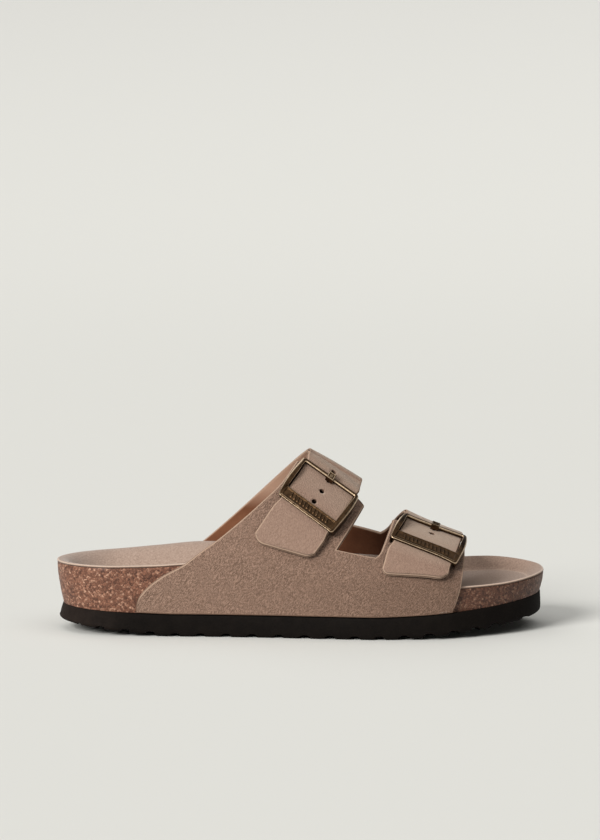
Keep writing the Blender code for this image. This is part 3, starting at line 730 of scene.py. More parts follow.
def build_cork():
    """The core under its cover, its side a little crumbled."""
    foot_gap, side_gap, top_edge, most_out = 0.05, 0.12, 0.35, 0.12

    def side_height(share_up):
        def at(s, side, x, y, depth):
            top = rim_z(s, side) - INSOLE_SHEET - CORK_CLEAR
            return mix(outsole_top_z(x) + foot_gap, top, share_up)

        return at

    rings = [ring(level_inset(CORK_INSIDE), side_height(0.0))]
    for u in np.linspace(0, 1, CORK_STEPS)[:-1]:
        rings.append(ring(lambda s, reach, u=u: cork_inset(s, u) + side_gap, side_height(u)))
    rings.append(ring(level_inset(top_edge), side_height(1.0)))
    under_cover = footbed_sheet(INSOLE_SHEET + CORK_CLEAR)
    rings += [ring(inset, under_cover) for inset in footbed_insets(RIM_FLAT)]
    points, faces = shell_of_rings(rings)
    sides = slice(RING_POINTS, (CORK_STEPS + 1) * RING_POINTS)
    spine = np.clip(points[sides, 0], *SPINE)
    outward = unit(points[sides, :2] - np.column_stack((spine, axis_y(spine))))
    crumble = 0.10 * ripple(points[sides], 1.7, 3) + 0.10 * ripple(points[sides], 4.5, 4)
    points[sides, :2] += outward * np.minimum(crumble, most_out)[:, None]
    return mesh_object("cork_core", points, faces, smooth_under=50)


def build_footbed():
    """The cover with its folded rim; the values of its points mark the fold, and a painted highlight
    along the toe's crease with painted shade on the wall above it.
    """
    back = footbed_insets(COVER_BACK, 14, 6)
    rings = [ring(inset, footbed_sheet(INSOLE_SHEET)) for inset in reversed(back)]
    rings += [ring(level_inset(inset), footbed_sheet(drop)) for inset, drop, tone in COVER_FOLD]
    rings += [ring(inset, footbed_sheet(0.0)) for inset in footbed_insets(COVER_FACE)]
    points, faces = shell_of_rings(rings)
    cover = mesh_object("footbed_suede_cover", points, faces)
    shade = np.zeros((len(rings), RING_POINTS))
    face_from = len(back) + len(COVER_FOLD)
    shade[len(back):face_from] = np.array([tone for inset, drop, tone in COVER_FOLD])[:, None]
    s = ring_stations()
    crease = RIM_FLAT + TOE_CREASE["wall"] * footbed["wall"](s / LENGTH)
    inset = np.linspace(COVER_FACE, WALL_REACH, WALL_STEPS)[:, None]
    # painted highlight along the crease, painted shade on the wall above it
    line = CREASE_PAINTED_LIGHT_AND_SHADE["pale"] * bell(inset, crease + CREASE_PAINTED_LIGHT_AND_SHADE["past"], CREASE_PAINTED_LIGHT_AND_SHADE["half"])
    line = line + CREASE_PAINTED_LIGHT_AND_SHADE["wall"] * (inset < crease)
    shade[face_from:face_from + WALL_STEPS] = line * to_toe(s)
    add_values(cover, "rim", shade.ravel())
    return cover


# Suede panels

def quarter_sheet(base_girths, rear, front, arms):
    """Station, girth and lift of a quarter's points, and its faces: a band at the sole with two arms."""
    throat = base_girths[-1]
    shares = np.linspace(0, 1, ARM_COLUMNS + 1)
    ends = [(float(arm["rear"](throat)), float(arm["front"](throat))) for arm in arms]
    gap = np.linspace(ends[0][1], ends[1][0], GAP_COLUMNS + 1)[1:-1]
    top = np.concatenate((mix(*ends[0], shares), gap, mix(*ends[1], shares)))
    across = (top - top[0]) / (top[-1] - top[0])
    girths = np.array(base_girths)[:, None]
    band_s = mix(station_on(rear, girths), station_on(front, girths), across[None, :])
    band_s[-1] = top
    s, girth = [band_s.ravel()], [np.broadcast_to(girths, band_s.shape).ravel()]
    lift = [np.zeros(band_s.size)]
    index = np.arange(band_s.size).reshape(band_s.shape)
    blocks, count = [index], band_s.size
    for arm, start in zip(arms, (0, len(top) - len(shares))):
        t = np.linspace(0, 1, arm["rows"] + 1)[1:, None]
        arm_girth = mix(throat, arm["end"](shares)[None, :], t)
        across_arm = np.broadcast_to(shares, arm_girth.shape)
        arm_share = arm["inset"](across_arm, arm_girth)
        s.append(mix(arm["rear"](arm_girth), arm["front"](arm_girth), arm_share).ravel())
        girth.append(arm_girth.ravel())
        lift.append(arm["level"](across_arm, arm_girth).ravel())
        rows = count + np.arange(arm_girth.size).reshape(arm_girth.shape)
        blocks.append(np.vstack((index[-1, start:start + len(shares)], rows)))
        count += arm_girth.size
    faces = np.concatenate([grid_faces(block) for block in blocks])
    if throat > 0.5:
        faces = faces[:, ::-1]
    return np.concatenate(s), np.concatenate(girth), np.concatenate(lift), faces


def suede_wall(name, s, girth, lift, faces):
    """A sheet of suede with its lining: two faces joined round a shaped cut edge."""
    foot, normal = last_point(s, girth), last_normal(s, girth)
    base = foot + normal * lift[:, None]
    pairs = {(f[i], f[(i + 1) % 4]) for f in faces.tolist() for i in range(4)}
    ahead = {a: b for a, b in pairs if (b, a) not in pairs}
    behind = {b: a for a, b in ahead.items()}
    rim = np.array(sorted(ahead))
    order = {v: i for i, v in enumerate(rim.tolist())}
    to_next = base[[ahead[v] for v in rim.tolist()]] - base[rim]
    from_last = base[rim] - base[[behind[v] for v in rim.tolist()]]
    left, right = unit(np.cross(normal[rim], from_last)), unit(np.cross(normal[rim], to_next))
    least_opening = 0.6
    opening = np.maximum(1 + (left * right).sum(1), least_opening)
    inward = (left + right) / opening[:, None]
    face_side = base + normal * UPPER_WALL
    face_side[rim] += inward * CUT_EDGE[0][0]
    lining_side = base.copy()
    lining_side[rim] += inward * CUT_EDGE[-1][0]
    rows = [base[rim] + normal[rim] * level + inward * inset for inset, level in CUT_EDGE[1:-1]]
    count = len(base)
    starts = [2 * count + k * len(rim) for k in range(len(rows))]

    def row_index(k, v):
        if k == 0:
            return v
        return v + count if k == len(rows) + 1 else starts[k - 1] + order[v]

    strips, strip_slots = [], []
    for k in range(len(rows) + 1):
        for a in rim.tolist():
            b = ahead[a]
            strips.append([row_index(k, b), row_index(k, a), row_index(k + 1, a), row_index(k + 1, b)])
            strip_slots.append(SEAM_AND_SHADE_SLOT if k in CUT_SEAM else CUT_SLOT)
    all_faces = faces.tolist() + (faces[:, ::-1] + count).tolist() + strips
    slots = [FACE_SLOT] * len(faces) + [LINING_SLOT] * len(faces) + strip_slots
    points = np.concatenate([face_side, lining_side] + rows)
    return mesh_object(name, points, all_faces, slots), base[rim]


def add_rim(thing, rim_points):
    """Writes how close each point lies to the panel's cut edge, from 0 inside to 1 at the edge."""
    tree = KDTree(len(rim_points))
    for i, p in enumerate((rim_points - ORIGIN) * MM):
        tree.insert(p, i)
    tree.balance()
    gaps = np.array([tree.find(v.co)[2] for v in thing.data.vertices]) / MM
    add_values(thing, "rim", np.clip(1 - gaps / (RIM_REACH + UPPER_WALL), 0, 1))


def base_rows(side):
    """Girth rows from the outsole up the cork and on to the throat."""
    rim = 0.0 if side == OUTER else 1.0
    cork = [rim + side * (1 - u) for u in np.linspace(0, 1, 16)]
    return cork + [mix(rim, THROAT_GIRTH[side], t) for t in np.linspace(0, 1, 9)[1:]]


def flared(line, way, side, near):
    """A leaning edge that flares out along the foot where it meets a quarter's throat near a station."""
    return leaning_edge(line, way, float(last_point(near, THROAT_GIRTH[side])[2]))


def build_outer_panel(straps):
    """The outer quarter with its two buckle tabs."""
    tab_front, tab_rear = leaning_edge(TAB_INSTEP_FRONT), flared(TAB_TOE_REAR, -1, OUTER, 175.0)

    def tab(name, rows, rear, front):
        strap = straps[name]

        def end(u):
            corner = TAB_CORNER * np.abs(2 * u - 1) ** 5
            return strap.girth(u, strap.bar_from + strap.sizes["tab_past"] - corner)

        return {"rows": rows, "rear": at_girth(rear), "front": at_girth(front), "end": end,
                "inset": lambda u, girth: u, "level": lambda u, girth: np.zeros(girth.shape)}

    arms = [tab("instep", 44, outer_rear, tab_front), tab("toe", 30, tab_rear, outer_front)]
    sheet = quarter_sheet(base_rows(OUTER), outer_rear, outer_front, arms)
    panel, rim_points = suede_wall("upper_outer_panel", *sheet)
    add_rim(panel, rim_points)
    return panel


def punch(strap, step):
    """The shape that cuts one of a strap's holes, counted from the prong's; that one fits the pin."""
    run = strap.prong_at + step * strap.sizes["hole_pitch"]
    radius = HOLE_RADIUS if step else PRONG["pin_half"]
    turn = 2 * math.pi * (np.arange(HOLE_STEPS) + 0.4) / HOLE_STEPS
    across, along = radius * np.cos(turn), run + radius * np.sin(turn)
    past = 1.0
    levels = (strap.lift(run) - past, strap.lift(run) + UPPER_WALL + past)
    return tube([strap.offset(across, along, level) for level in levels])


def build_inner_panel(straps):
    """The inner quarter with the two straps, their tips and their punched holes."""
    instep_front = flared(STRAPS["instep"]["front"], 1, INNER, 150.0)
    toe_rear = flared(STRAPS["toe"]["rear"], -1, INNER, 175.0)

    def arm(name, rows, rear, front):
        strap = straps[name]

        def inset(u, girth):
            return np.where(girth < 0.5, strap.pinched(u, strap.run(u, girth)), u)

        def level(u, girth):
            return np.where(girth < 0.5, strap.lift(strap.run(u, girth)), 0.0)

        return {"rows": rows, "rear": at_girth(strap.rear, rear), "front": at_girth(strap.front, front),
                "end": lambda u: strap.girth(u, strap.tip_run(u)), "inset": inset, "level": level}

    arms = [arm("instep", 150, inner_rear, instep_front), arm("toe", 120, toe_rear, inner_front)]
    sheet = quarter_sheet(base_rows(INNER), inner_rear, inner_front, arms)
    panel, rim_points = suede_wall("upper_inner_panel_straps", *sheet)
    punches = [punch(strap, step) for strap in straps.values() for step in strap.sizes["holes"]]
    points, faces = joined(punches)
    # the holes' walls take the dark seam finish, as painted shade
    cut(panel, mesh_object("hole_tool", points, faces, [SEAM_AND_SHADE_SLOT] * len(faces)))
    add_rim(panel, rim_points)
    return panel


# Buckles

def rounded_outline(half, low, high, turn):
    """Stations round a rectangle: each side's, from the lowest on, and then its round corner's."""
    arcs = []
    corners = ((1, low + turn), (1, high - turn), (-1, high - turn), (-1, low + turn))
    for k, (side, middle) in enumerate(corners):
        angle = np.radians(90 * (k - 1 + FRAME_TURN))
        across = side * (half - turn) + turn * np.cos(angle)
        arcs.append(np.column_stack((across, middle + turn * np.sin(angle))))
    stations = []
    for k, count in enumerate(FRAME_STEPS):
        share = np.linspace(0, 1, count + 2)[1:-1, None]
        stations += [mix(arcs[k - 1][-1], arcs[k][0], share), arcs[k]]
    return np.concatenate(stations)


def frame_path(strap):
    """Stations round a frame: outer and inner edge as sideways and run, share of a side, share along."""
    low, high = strap.plate_from, strap.plate_from + FRAME_LONG
    out = rounded_outline(strap.frame_half, low, high, FRAME_CORNER)
    window = (strap.window_half - WINDOW_TRIM, low + PLATE_WIDE, high - BAR_WIDE)
    inside = rounded_outline(*window, WINDOW_CORNER)
    to_side = []
    for k, count in enumerate(FRAME_STEPS):
        to_side += [np.full(count, k % 2), 1 - FRAME_TURN if k % 2 else FRAME_TURN]
    to_side = np.concatenate(to_side)
    along = np.clip((out[:, 1] - low) / FRAME_LONG, 0, 1)
    out[:, 0] += np.sign(out[:, 0]) * FRAME_BOW * np.sin(math.pi * along) * to_side
    return out, inside, to_side, along


def plate_relief(sideways, share, half):
    """Relief of the wide plate and how rubbed bright it is: a bead at its lower edge, and a sunk panel
    with plain ribs.
    """
    bead = sum(height * bell(share, middle, wide) for height, middle, wide in PLATE_BEADS)
    across = np.abs(sideways) / half

    def field(reach, first, last, slope):
        sides = eased((reach - across) / slope)
        return sides * eased((share - first) / PLATE_SLOPE) * eased((last - share) / PLATE_SLOPE)

    panel = field(*PLATE_PANEL["field"])
    lean = PLATE_RIBS["lean"] * share * PLATE_WIDE
    wave = np.cos(2 * math.pi * (sideways + lean) / PLATE_RIBS["pitch"])
    rib = eased((wave + 0.15) / 0.5) * field(*PLATE_RIBS["field"])
    relief = bead - PLATE_PANEL["depth"] * panel + PLATE_RIBS["height"] * rib
    return relief, 0.18 + 1.6 * bead - 0.18 * panel + 0.28 * rib


def build_frame(name, strap):
    """A cast frame as one loft round its window, with its hinge pin."""
    out, inside, to_side, along = frame_path(strap)
    wide = np.linalg.norm(inside - out, axis=1)
    top = mix(PLATE_LEVEL + PLATE_THICK, BAR_LEVEL + BAR_THICK, eased(along))
    top = top + FRAME_ARCH * np.sin(math.pi * along) * to_side
    under = mix(mix(PLATE_LEVEL, BAR_LEVEL, eased(along)), SIDE_UNDER, eased(to_side))
    on_plate = (along < 0.3) * (1 - eased(to_side * 3))
    edge = mix(*FRAME_EDGE, eased(along)) * (1 - 0.4 * to_side)
    section, wear_and_highlight = [], []

    def add(inset, level, worn_or_highlit):
        section.append((inset / wide, level))
        wear_and_highlight.append(np.full(len(wide), worn_or_highlit) if np.isscalar(worn_or_highlit) else worn_or_highlit)

    add(edge, under, 0.1)
    add(0.3 * edge, under + 0.3 * edge, 0.3)
    add(0 * edge, under + edge, 0.1)
    shoulder = mix(edge, FRAME_SHOULDER, to_side)
    # The shoulder is rubbed bright where it turns: partly real wear, partly a painted highlight along
    # the frame's side.
    for turn in np.radians((0.0, 22.0, 45.0, 68.0)):
        worn_or_highlit = 0.15 + 0.85 * math.sin(2 * turn) ** 2
        add(shoulder * (1 - math.cos(turn)), top - shoulder * (1 - math.sin(turn)), worn_or_highlit)
    for share in np.linspace(0, 1, 30):
        inset = mix(shoulder, wide - edge, share)
        middle = mix(out[:, 0], inside[:, 0], inset / wide)
        relief, worn_or_highlit = plate_relief(middle, share, strap.frame_half)
        add(inset, top + relief * on_plate, np.clip(mix(0.15, worn_or_highlit, on_plate), 0, 0.8))
    add(wide - 0.5 * edge, top - 0.12 * edge, 0.9)
    add(wide - 0.12 * edge, top - 0.5 * edge, 0.9)
    add(wide, top - edge, 0.4)
    add(wide, under + edge, 0.0)
    add(wide - 0.3 * edge, under + 0.3 * edge, 0.0)
    add(wide - edge, under, 0.0)
    rows = []
    for share, level in section:
        flat = mix(out, inside, share[:, None])
        rows.append(strap.offset(flat[:, 0], flat[:, 1], level))
    loft = (np.stack(rows, 1).reshape(-1, 3), tube_faces(len(wide), len(section), closed=True))
    pin = hinge_pin(strap)
    cast = mesh_object(f"buckle_cast_frame_{name}", *joined([loft, pin]))
    add_values(cast, "wear_and_highlight", np.concatenate((np.stack(wear_and_highlight, 1).ravel(), np.zeros(len(pin[0])))))
    return cast


def hinge_pin(strap, steps=30, around=14):
    """The round pin under the strap, from side to side of the frame."""
    half, radius = strap.window_half + 0.6 * FRAME_SIDE, PIN_THICK / 2
    turn = np.linspace(0, 2 * math.pi, around + 1)[:-1]
    run = strap.pin_at + radius * np.cos(turn)
    level = PIN_LEVEL + radius + radius * np.sin(turn)
    return tube([strap.offset(sideways, run, level) for sideways in np.linspace(-half, half, steps)])


def loop_relief(sideways, along, half):
    """Relief of the prong loop's face: a rounded border, a sunk ground and a small raised square."""
    inside = np.minimum(half[0] - np.abs(sideways), half[1] - np.abs(along))
    reach, drop = LOOP_ROUND
    rounded = drop * (1 - np.sqrt(1 - np.clip(1 - inside / reach, 0, 1) ** 2))
    sunk, square = (
        height * eased((inside - start) / LOOP_SLOPE) for start, height in (LOOP_GROUND, LOOP_SQUARE))
    return square - sunk - rounded


def build_prong(name, strap):
    """A square loop over the thin bar, its face in relief, with a pin through the strap."""
    metal, wide = PRONG["metal"], PRONG["half"]
    near, far = strap.bar_from - FIT_GAP - metal, strap.bar_from + BAR_WIDE + FIT_GAP + metal
    under = BAR_LEVEL + BAR_THICK + 0.5 * FIT_GAP
    top = under + 0.9 * metal
    half = (wide, (far - near) / 2)
    steps = 36
    sideways, along = np.meshgrid(np.linspace(-wide, wide, steps), np.linspace(-half[1], half[1], steps))
    relief = loop_relief(sideways, along, half)
    middle = (near + far) / 2
    face = strap.offset(sideways, middle + along, top + relief).reshape(-1, 3)
    back = strap.offset(sideways, middle + along, np.full(relief.shape, under)).reshape(-1, 3)
    index = np.arange(steps * steps).reshape(steps, steps)
    quads = grid_faces(index)
    border = np.concatenate((index[0, :-1], index[:-1, -1], index[-1, :0:-1], index[:0:-1, 0]))
    ahead = np.roll(border, -1)
    count = steps * steps
    skirt = np.stack((border + count, ahead + count, ahead, border), 1)
    slab_faces = np.concatenate((quads, quads[:, ::-1] + count, skirt))
    slab = (np.concatenate((face, back)), slab_faces.tolist())

    def leg(ways, first, last, levels):
        across, run = np.array([(-ways, first), (ways, first), (ways, last), (-ways, last)]).T
        return tube([strap.offset(across, run, level) for level in levels])

    sides, pin_sides, into_loop = 0.05, 0.1, 0.2
    leg_levels = (BAR_LEVEL, under + into_loop)
    shapes = [slab, leg(0.96 * wide, near + sides, near + metal, leg_levels)]
    shapes.append(leg(0.96 * wide, far - metal, far - sides, leg_levels))
    pin_levels = (STRAP_AT_BAR + FIT_GAP, under)
    shapes.append(leg(PRONG["pin_half"], near + pin_sides, near + metal - pin_sides, pin_levels))
    prong = mesh_object(f"buckle_square_prong_{name}", *joined(shapes), smooth_under=35)
    shade = np.full(len(prong.data.vertices), 0.2)
    shade[:count] = np.clip(0.7 + 4.0 * relief, 0.0, 0.7).ravel()
    add_values(prong, "wear_and_highlight", shade)
    return prong


# Finishes

class Finish:
    """A procedural material in the making. Inputs are set by name, and linked where given a socket."""

    def __init__(self, name):
        self.material = bpy.data.materials.new(name)
        self.material.use_nodes = True
        self.tree = self.material.node_tree
        self.shader = self.tree.nodes["Principled BSDF"]
        self.coords = self.node("TexCoord").outputs["Object"]

    def node(self, kind, inputs=None, **settings):
        made = self.tree.nodes.new("ShaderNode" + kind)
        for key, value in settings.items():
            setattr(made, key, value)
        for key, value in (inputs or {}).items():
            self.put(made.inputs[key], value)
        return made

    def put(self, socket, value):
        if isinstance(value, bpy.types.NodeSocket):
            self.tree.links.new(value, socket)
        else:
            socket.default_value = value

    def set(self, **inputs):
        """Sets or links the shader's own inputs, and gives back the material."""
        for key, value in inputs.items():
            self.put(self.shader.inputs[key.replace("_", " ")], value)
        return self.material

    def turned(self, turn, stretch):
        """Coordinates turned about the cross axis and drawn out, for a nap or grain with a direction."""
        inputs = {"Vector": self.coords, "Rotation": (0.0, math.radians(turn), 0.0), "Scale": stretch}
        return self.node("Mapping", inputs, vector_type="TEXTURE").outputs["Vector"]

    def noise(self, size, detail, vector=None, roughness=0.5):
        inputs = {"Vector": vector or self.coords, "Scale": 1 / (size * MM), "Detail": detail}
        return self.node("TexNoise", inputs | {"Roughness": roughness}).outputs["Fac"]

    def cells(self, size, vector=None, feature="F1", output="Distance"):
        inputs = {"Vector": vector or self.coords, "Scale": 1 / (size * MM)}
        return self.node("TexVoronoi", inputs, feature=feature).outputs[output]

    def axis(self, name, vector=None):
        return self.node("SeparateXYZ", {"Vector": vector or self.coords}).outputs[name]

    def fade(self, first, last, colour, shade):
        """Paints shade into a colour: darkens it little by little along the foot, between two places in
        metres.
        """
        return self.blend(self.range(self.axis("X"), first, last), colour, shade, "MULTIPLY")

    def above_sole(self):
        """None along the panels' foot, where they are tucked in at the sole, and one above it."""
        return self.range(self.axis("Z"), *PANEL_FOOT)

    def weighted(self, a, b, share):
        return self.math("ADD", self.math("MULTIPLY", a, share), self.math("MULTIPLY", b, 1 - share))

    def attribute(self, name):
        return self.node("Attribute", attribute_name=name).outputs["Fac"]

    def math(self, operation, a, b):
        made = self.node("Math", operation=operation)
        self.put(made.inputs[0], a)
        self.put(made.inputs[1], b)
        return made.outputs[0]

    def range(self, value, low, high, to_low=0.0, to_high=1.0):
        inputs = {"Value": value, "From Min": low, "From Max": high, "To Min": to_low, "To Max": to_high}
        return self.node("MapRange", inputs).outputs["Result"]

    def ramp(self, value, stops):
        made = self.node("ValToRGB", {"Fac": value})
        elements = made.color_ramp.elements
        while len(elements) < len(stops):
            elements.new(0.5)
        for element, (place, colour) in zip(elements, stops):
            element.position = place
            element.color = (*colour, 1.0)
        return made.outputs["Color"]

    def blend(self, factor, a, b, mode="MIX"):
        made = self.node("Mix", data_type="RGBA", blend_type=mode)
        self.put(made.inputs[0], factor)
        for socket, value in ((made.inputs[6], a), (made.inputs[7], b)):
            self.put(socket, (*value, 1.0) if isinstance(value, tuple) else value)
        return made.outputs[2]

    def bump(self, height, distance, strength=1.0, under=None):
        inputs = {"Height": height, "Distance": distance * MM, "Strength": strength}
        if under is not None:
            inputs["Normal"] = under
        return self.node("Bump", inputs).outputs["Normal"]


# Tones of suede from dark to pale, and other colours; heights and stations are in metres
SUEDE = ((0.155, 0.096, 0.068), (0.257, 0.162, 0.119), (0.353, 0.230, 0.173))
STRAP_SUEDE = ((0.205, 0.131, 0.098), (0.262, 0.172, 0.130), (0.318, 0.216, 0.167))
CUT = (0.38, 0.265, 0.198)
# Painted light: the paler tone of strap faces that look up
PAINTED_LIGHT_ON_TOPS = (0.42, 0.32, 0.25)
# Painted shade: how far the quarter's and the straps' suede darken toward the toe
QUARTER_PAINTED_SHADE = (0.68, 0.66, 0.64)
STRAP_PAINTED_SHADE = (0.92, 0.91, 0.90)
PANEL_FOOT = (0.016, 0.022)


def suede_tone(look, tones, nap):
    """Colour of napped suede: slanting flecks of the fibre and soft patches of tone; and its relief."""
    slanted = look.turned(-50.0, (1.0, 1.0, 0.30))
    fleck = look.noise(1.15, 1.5, slanted, 0.6)
    fine = look.noise(0.4, 1.0, slanted)
    patch = look.noise(16.0, 2.0)
    value = look.weighted(fleck, fine, 0.75)
    spread = 0.065 / nap
    colour = look.ramp(look.range(value, 0.5 - spread, 0.5 + spread), tuple(zip((0.0, 0.5, 1.0), tones)))
    return look.blend(look.range(patch, 0.3, 0.7, 0.0, 0.35), colour, tones[1]), fleck, fine


def suede_finish(name, nap, smooth_straps):
    """Napped suede, paler along its edges, with painted shade toward the toe. On the straps' panel it is
    smoother on the outer side, and faces that look up are painted paler, as if lit from above.
    """
    look = Finish(name)
    colour, fleck, fine = suede_tone(look, SUEDE, 1.0)
    if smooth_straps:
        strap_colour = suede_tone(look, STRAP_SUEDE, nap)[0]
        colour = look.blend(look.range(look.axis("Y"), -0.005, 0.030), strap_colour, colour)
        # painted light: faces that look up are made paler, as if lit from above
        up = look.axis("Z", look.node("NewGeometry").outputs["Normal"])
        colour = look.blend(look.range(up, 0.60, 0.92, 0.0, 0.7), colour, PAINTED_LIGHT_ON_TOPS)
    # painted shade: darker toward the toe, where less light falls
    colour = look.fade(-0.06, 0.09, colour, STRAP_PAINTED_SHADE if smooth_straps else QUARTER_PAINTED_SHADE)
    edge = look.range(look.attribute("rim"), 0.84, 0.95, 0.0, 0.32)
    colour = look.blend(look.math("MULTIPLY", edge, look.above_sole()), colour, CUT)
    relief = look.bump(fleck, 1.2 * nap, 0.9)
    relief = look.bump(fine, 0.15 * nap, 0.5, relief)
    look.set(Base_Color=colour, Roughness=0.96, Normal=relief, Sheen_Weight=0.30, Sheen_Roughness=0.40)
    return look.set(Sheen_Tint=(1.0, 0.9, 0.8, 1.0), Specular_IOR_Level=0.15)


def lining_finish():
    """Smooth tan lining leather with a fine grain. Its dark red-brown tone and its darkening toward the
    toe are painted shade; the paler tone high up is painted light.
    """
    look = Finish("tan_lining_leather")
    grain = look.cells(0.9)
    patch = look.noise(9.0, 3.0)
    # painted shade: the base tones are a shaded, dark red-brown
    colour = look.ramp(patch, ((0.25, (0.135, 0.050, 0.023)), (0.75, (0.20, 0.082, 0.040))))
    # painted shade: darker toward the toe, in the throat
    colour = look.fade(0.0, 0.05, colour, (0.40, 0.35, 0.32))
    # painted light: paler above about 65 mm, where light reaches the lining
    colour = look.blend(look.range(look.axis("Z"), 0.060, 0.071), colour, (0.44, 0.275, 0.195))
    edge = look.range(look.attribute("rim"), 0.80, 0.92, 0.0, 0.5)
    look.set(Base_Color=look.blend(edge, colour, CUT), Roughness=0.75, Specular_IOR_Level=0.2)
    return look.set(Normal=look.bump(grain, 0.12, 0.4))


def cut_edge_finish():
    """The raw cut edge: pale fibre with darker threads."""
    look = Finish("suede_cut_edge")
    fibre = look.noise(0.6, 3.0, look.turned(0.0, (1.0, 1.0, 0.4)), 0.7)
    colour = look.ramp(fibre, ((0.3, (0.27, 0.185, 0.135)), (0.62, CUT)))
    colour = look.blend(look.above_sole(), SUEDE[0], colour)
    look.set(Base_Color=colour, Roughness=0.95, Normal=look.bump(fibre, 0.2, 0.6))
    return look.set(Specular_IOR_Level=0.15)


def seam_and_painted_shade_finish():
    """The glued seam in the cut edge: dark fibre, partly painted shade in the seam's groove; the punched
    holes' walls take it too, as painted shade.
    """
    look = Finish("suede_cut_seam_and_painted_shade")
    fibre = look.noise(0.5, 3.0, roughness=0.7)
    colour = look.ramp(fibre, ((0.3, (0.055, 0.032, 0.022)), (0.7, (0.13, 0.080, 0.056))))
    return look.set(Base_Color=colour, Roughness=0.95, Specular_IOR_Level=0.1)


def footbed_finish():
    """Fine pinkish suede of the footbed, with a pale folded rim that is darker on its underside; shade
    toward the toe, a highlight along the toe's crease and shade on the toe's wall are painted in.
    """
    look = Finish("footbed_suede")
    fleck = look.noise(0.9, 3.0, roughness=0.65)
    patch = look.noise(20.0, 2.0)
    colour = look.ramp(fleck, (
        (0.3, (0.24, 0.170, 0.134)), (0.5, (0.325, 0.236, 0.188)), (0.72, (0.41, 0.308, 0.25))))
    colour = look.blend(look.range(patch, 0.35, 0.75, 0.0, 0.3), colour, (0.30, 0.22, 0.175))
    # painted shade: darker toward the toe
    colour = look.fade(0.02, 0.10, colour, (0.94, 0.91, 0.89))
    # the pale fold, and the painted highlight along the toe's crease
    edge = look.range(look.attribute("rim"), 0.2, 0.9, 0.0, 0.7)
    colour = look.blend(edge, colour, (0.55, 0.42, 0.335))
    # darker on the fold's underside, and painted shade on the toe's wall
    under = look.range(look.attribute("rim"), -0.8, -0.1, 0.8, 0.0)
    colour = look.blend(under, colour, (0.10, 0.055, 0.036))
    look.set(Base_Color=colour, Roughness=0.96, Normal=look.bump(fleck, 0.25, 0.5), Sheen_Weight=0.2)
    return look.set(Sheen_Roughness=0.5, Specular_IOR_Level=0.15)


def cork_finish():
    """Ground cork: crumbs of many browns with dark seams, pale flecks and a thin seal."""
    look = Finish("ground_cork")
    wander = look.node("VectorMath", operation="ADD")
    look.put(wander.inputs[0], look.coords)
    drift = look.node("TexNoise", {"Vector": look.coords, "Scale": 900.0, "Detail": 2.0})
    shift = look.node("VectorMath", operation="SCALE")
    look.put(shift.inputs[0], drift.outputs["Color"])
    look.put(shift.inputs["Scale"], 0.0009)
    look.put(wander.inputs[1], shift.outputs[0])
    bent = wander.outputs[0]
    crumbs, crumblets = (look.cells(size, bent, output="Color") for size in (1.35, 0.62))
    crumb = look.node("SeparateColor", {"Color": crumbs}).outputs[0]
    small = look.node("SeparateColor", {"Color": crumblets}).outputs[1]
    seam = look.cells(1.35, bent, "DISTANCE_TO_EDGE")
    tone = look.weighted(crumb, small, 0.6)
    colour = look.ramp(tone, (
        (0.10, (0.060, 0.020, 0.010)), (0.40, (0.152, 0.059, 0.032)), (0.68, (0.240, 0.102, 0.059)),
        (0.92, (0.47, 0.275, 0.185))))
    dark = look.range(seam, 0.0, 0.10, 0.6, 0.0)
    colour = look.blend(dark, colour, (0.060, 0.026, 0.016))
    # painted shade: the cork darkens toward the toe, away from the light
    colour = look.fade(-0.08, 0.08, colour, (0.54, 0.52, 0.50))
    relief = look.bump(look.range(seam, 0.0, 0.2), 0.3, 0.6)
    relief = look.bump(small, 0.15, 0.5, relief)
    look.set(Base_Color=colour, Roughness=0.78, Normal=relief, Coat_Weight=0.35, Coat_Roughness=0.4)
    return look.set(Specular_IOR_Level=0.3)


def foam_finish():
    """Matt near-black foam rubber with fine pores and faint dust, painted lighter and browner at the
    heel's end, where the light falls.
    """
    look = Finish("black_sole_foam")
    pores = look.noise(0.7, 3.0)
    dust = look.noise(6.0, 4.0, roughness=0.7)
    colour = look.ramp(dust, ((0.35, (0.0130, 0.0088, 0.0072)), (0.75, (0.0225, 0.0155, 0.0125))))
    # painted light: the heel's end is lighter, the rest darkened along the foot
    colour = look.fade(-0.130, -0.092, colour, (0.28, 0.29, 0.28))
    look.set(Base_Color=colour, Roughness=look.range(pores, 0.3, 0.7, 0.68, 0.86))
    return look.set(Normal=look.bump(pores, 0.12, 0.35), Specular_IOR_Level=0.08)


def brass_finish():
    """Dark antique brass: brown lacquer in the hollows, rubbed bright along the edges; on the frames'
    shoulders the bright band is also a painted highlight.
    """
    look = Finish("antique_brass")
    patch = look.noise(2.6, 4.0, roughness=0.65)
    scratch = look.noise(0.9, 3.0, look.turned(30.0, (1.0, 1.0, 0.15)))
    colour = look.ramp(patch, ((0.3, (0.030, 0.0165, 0.0085)), (0.7, (0.095, 0.054, 0.027))))
    worn_or_highlit = look.math("MULTIPLY", look.attribute("wear_and_highlight"), look.range(scratch, 0.25, 0.6, 0.5, 1.1))
    worn_or_highlit = look.range(worn_or_highlit, 0.25, 1.0)
    colour = look.blend(worn_or_highlit, colour, (0.74, 0.56, 0.38))
    look.set(Base_Color=colour, Metallic=1.0, Roughness=look.range(patch, 0.3, 0.7, 0.26, 0.42))
    return look.set(Normal=look.bump(scratch, 0.05, 0.3))


# Setting: camera, lights and floor

CAMERA = {"pitch": 5.4, "distance": 2.0, "aim": (129.5, 0.0, 110.9), "pixel": 0.532}
IMAGE_HIGH = 840
SENSOR_HIGH = 24.0
BACKGROUND = (0.760, 0.753, 0.708)


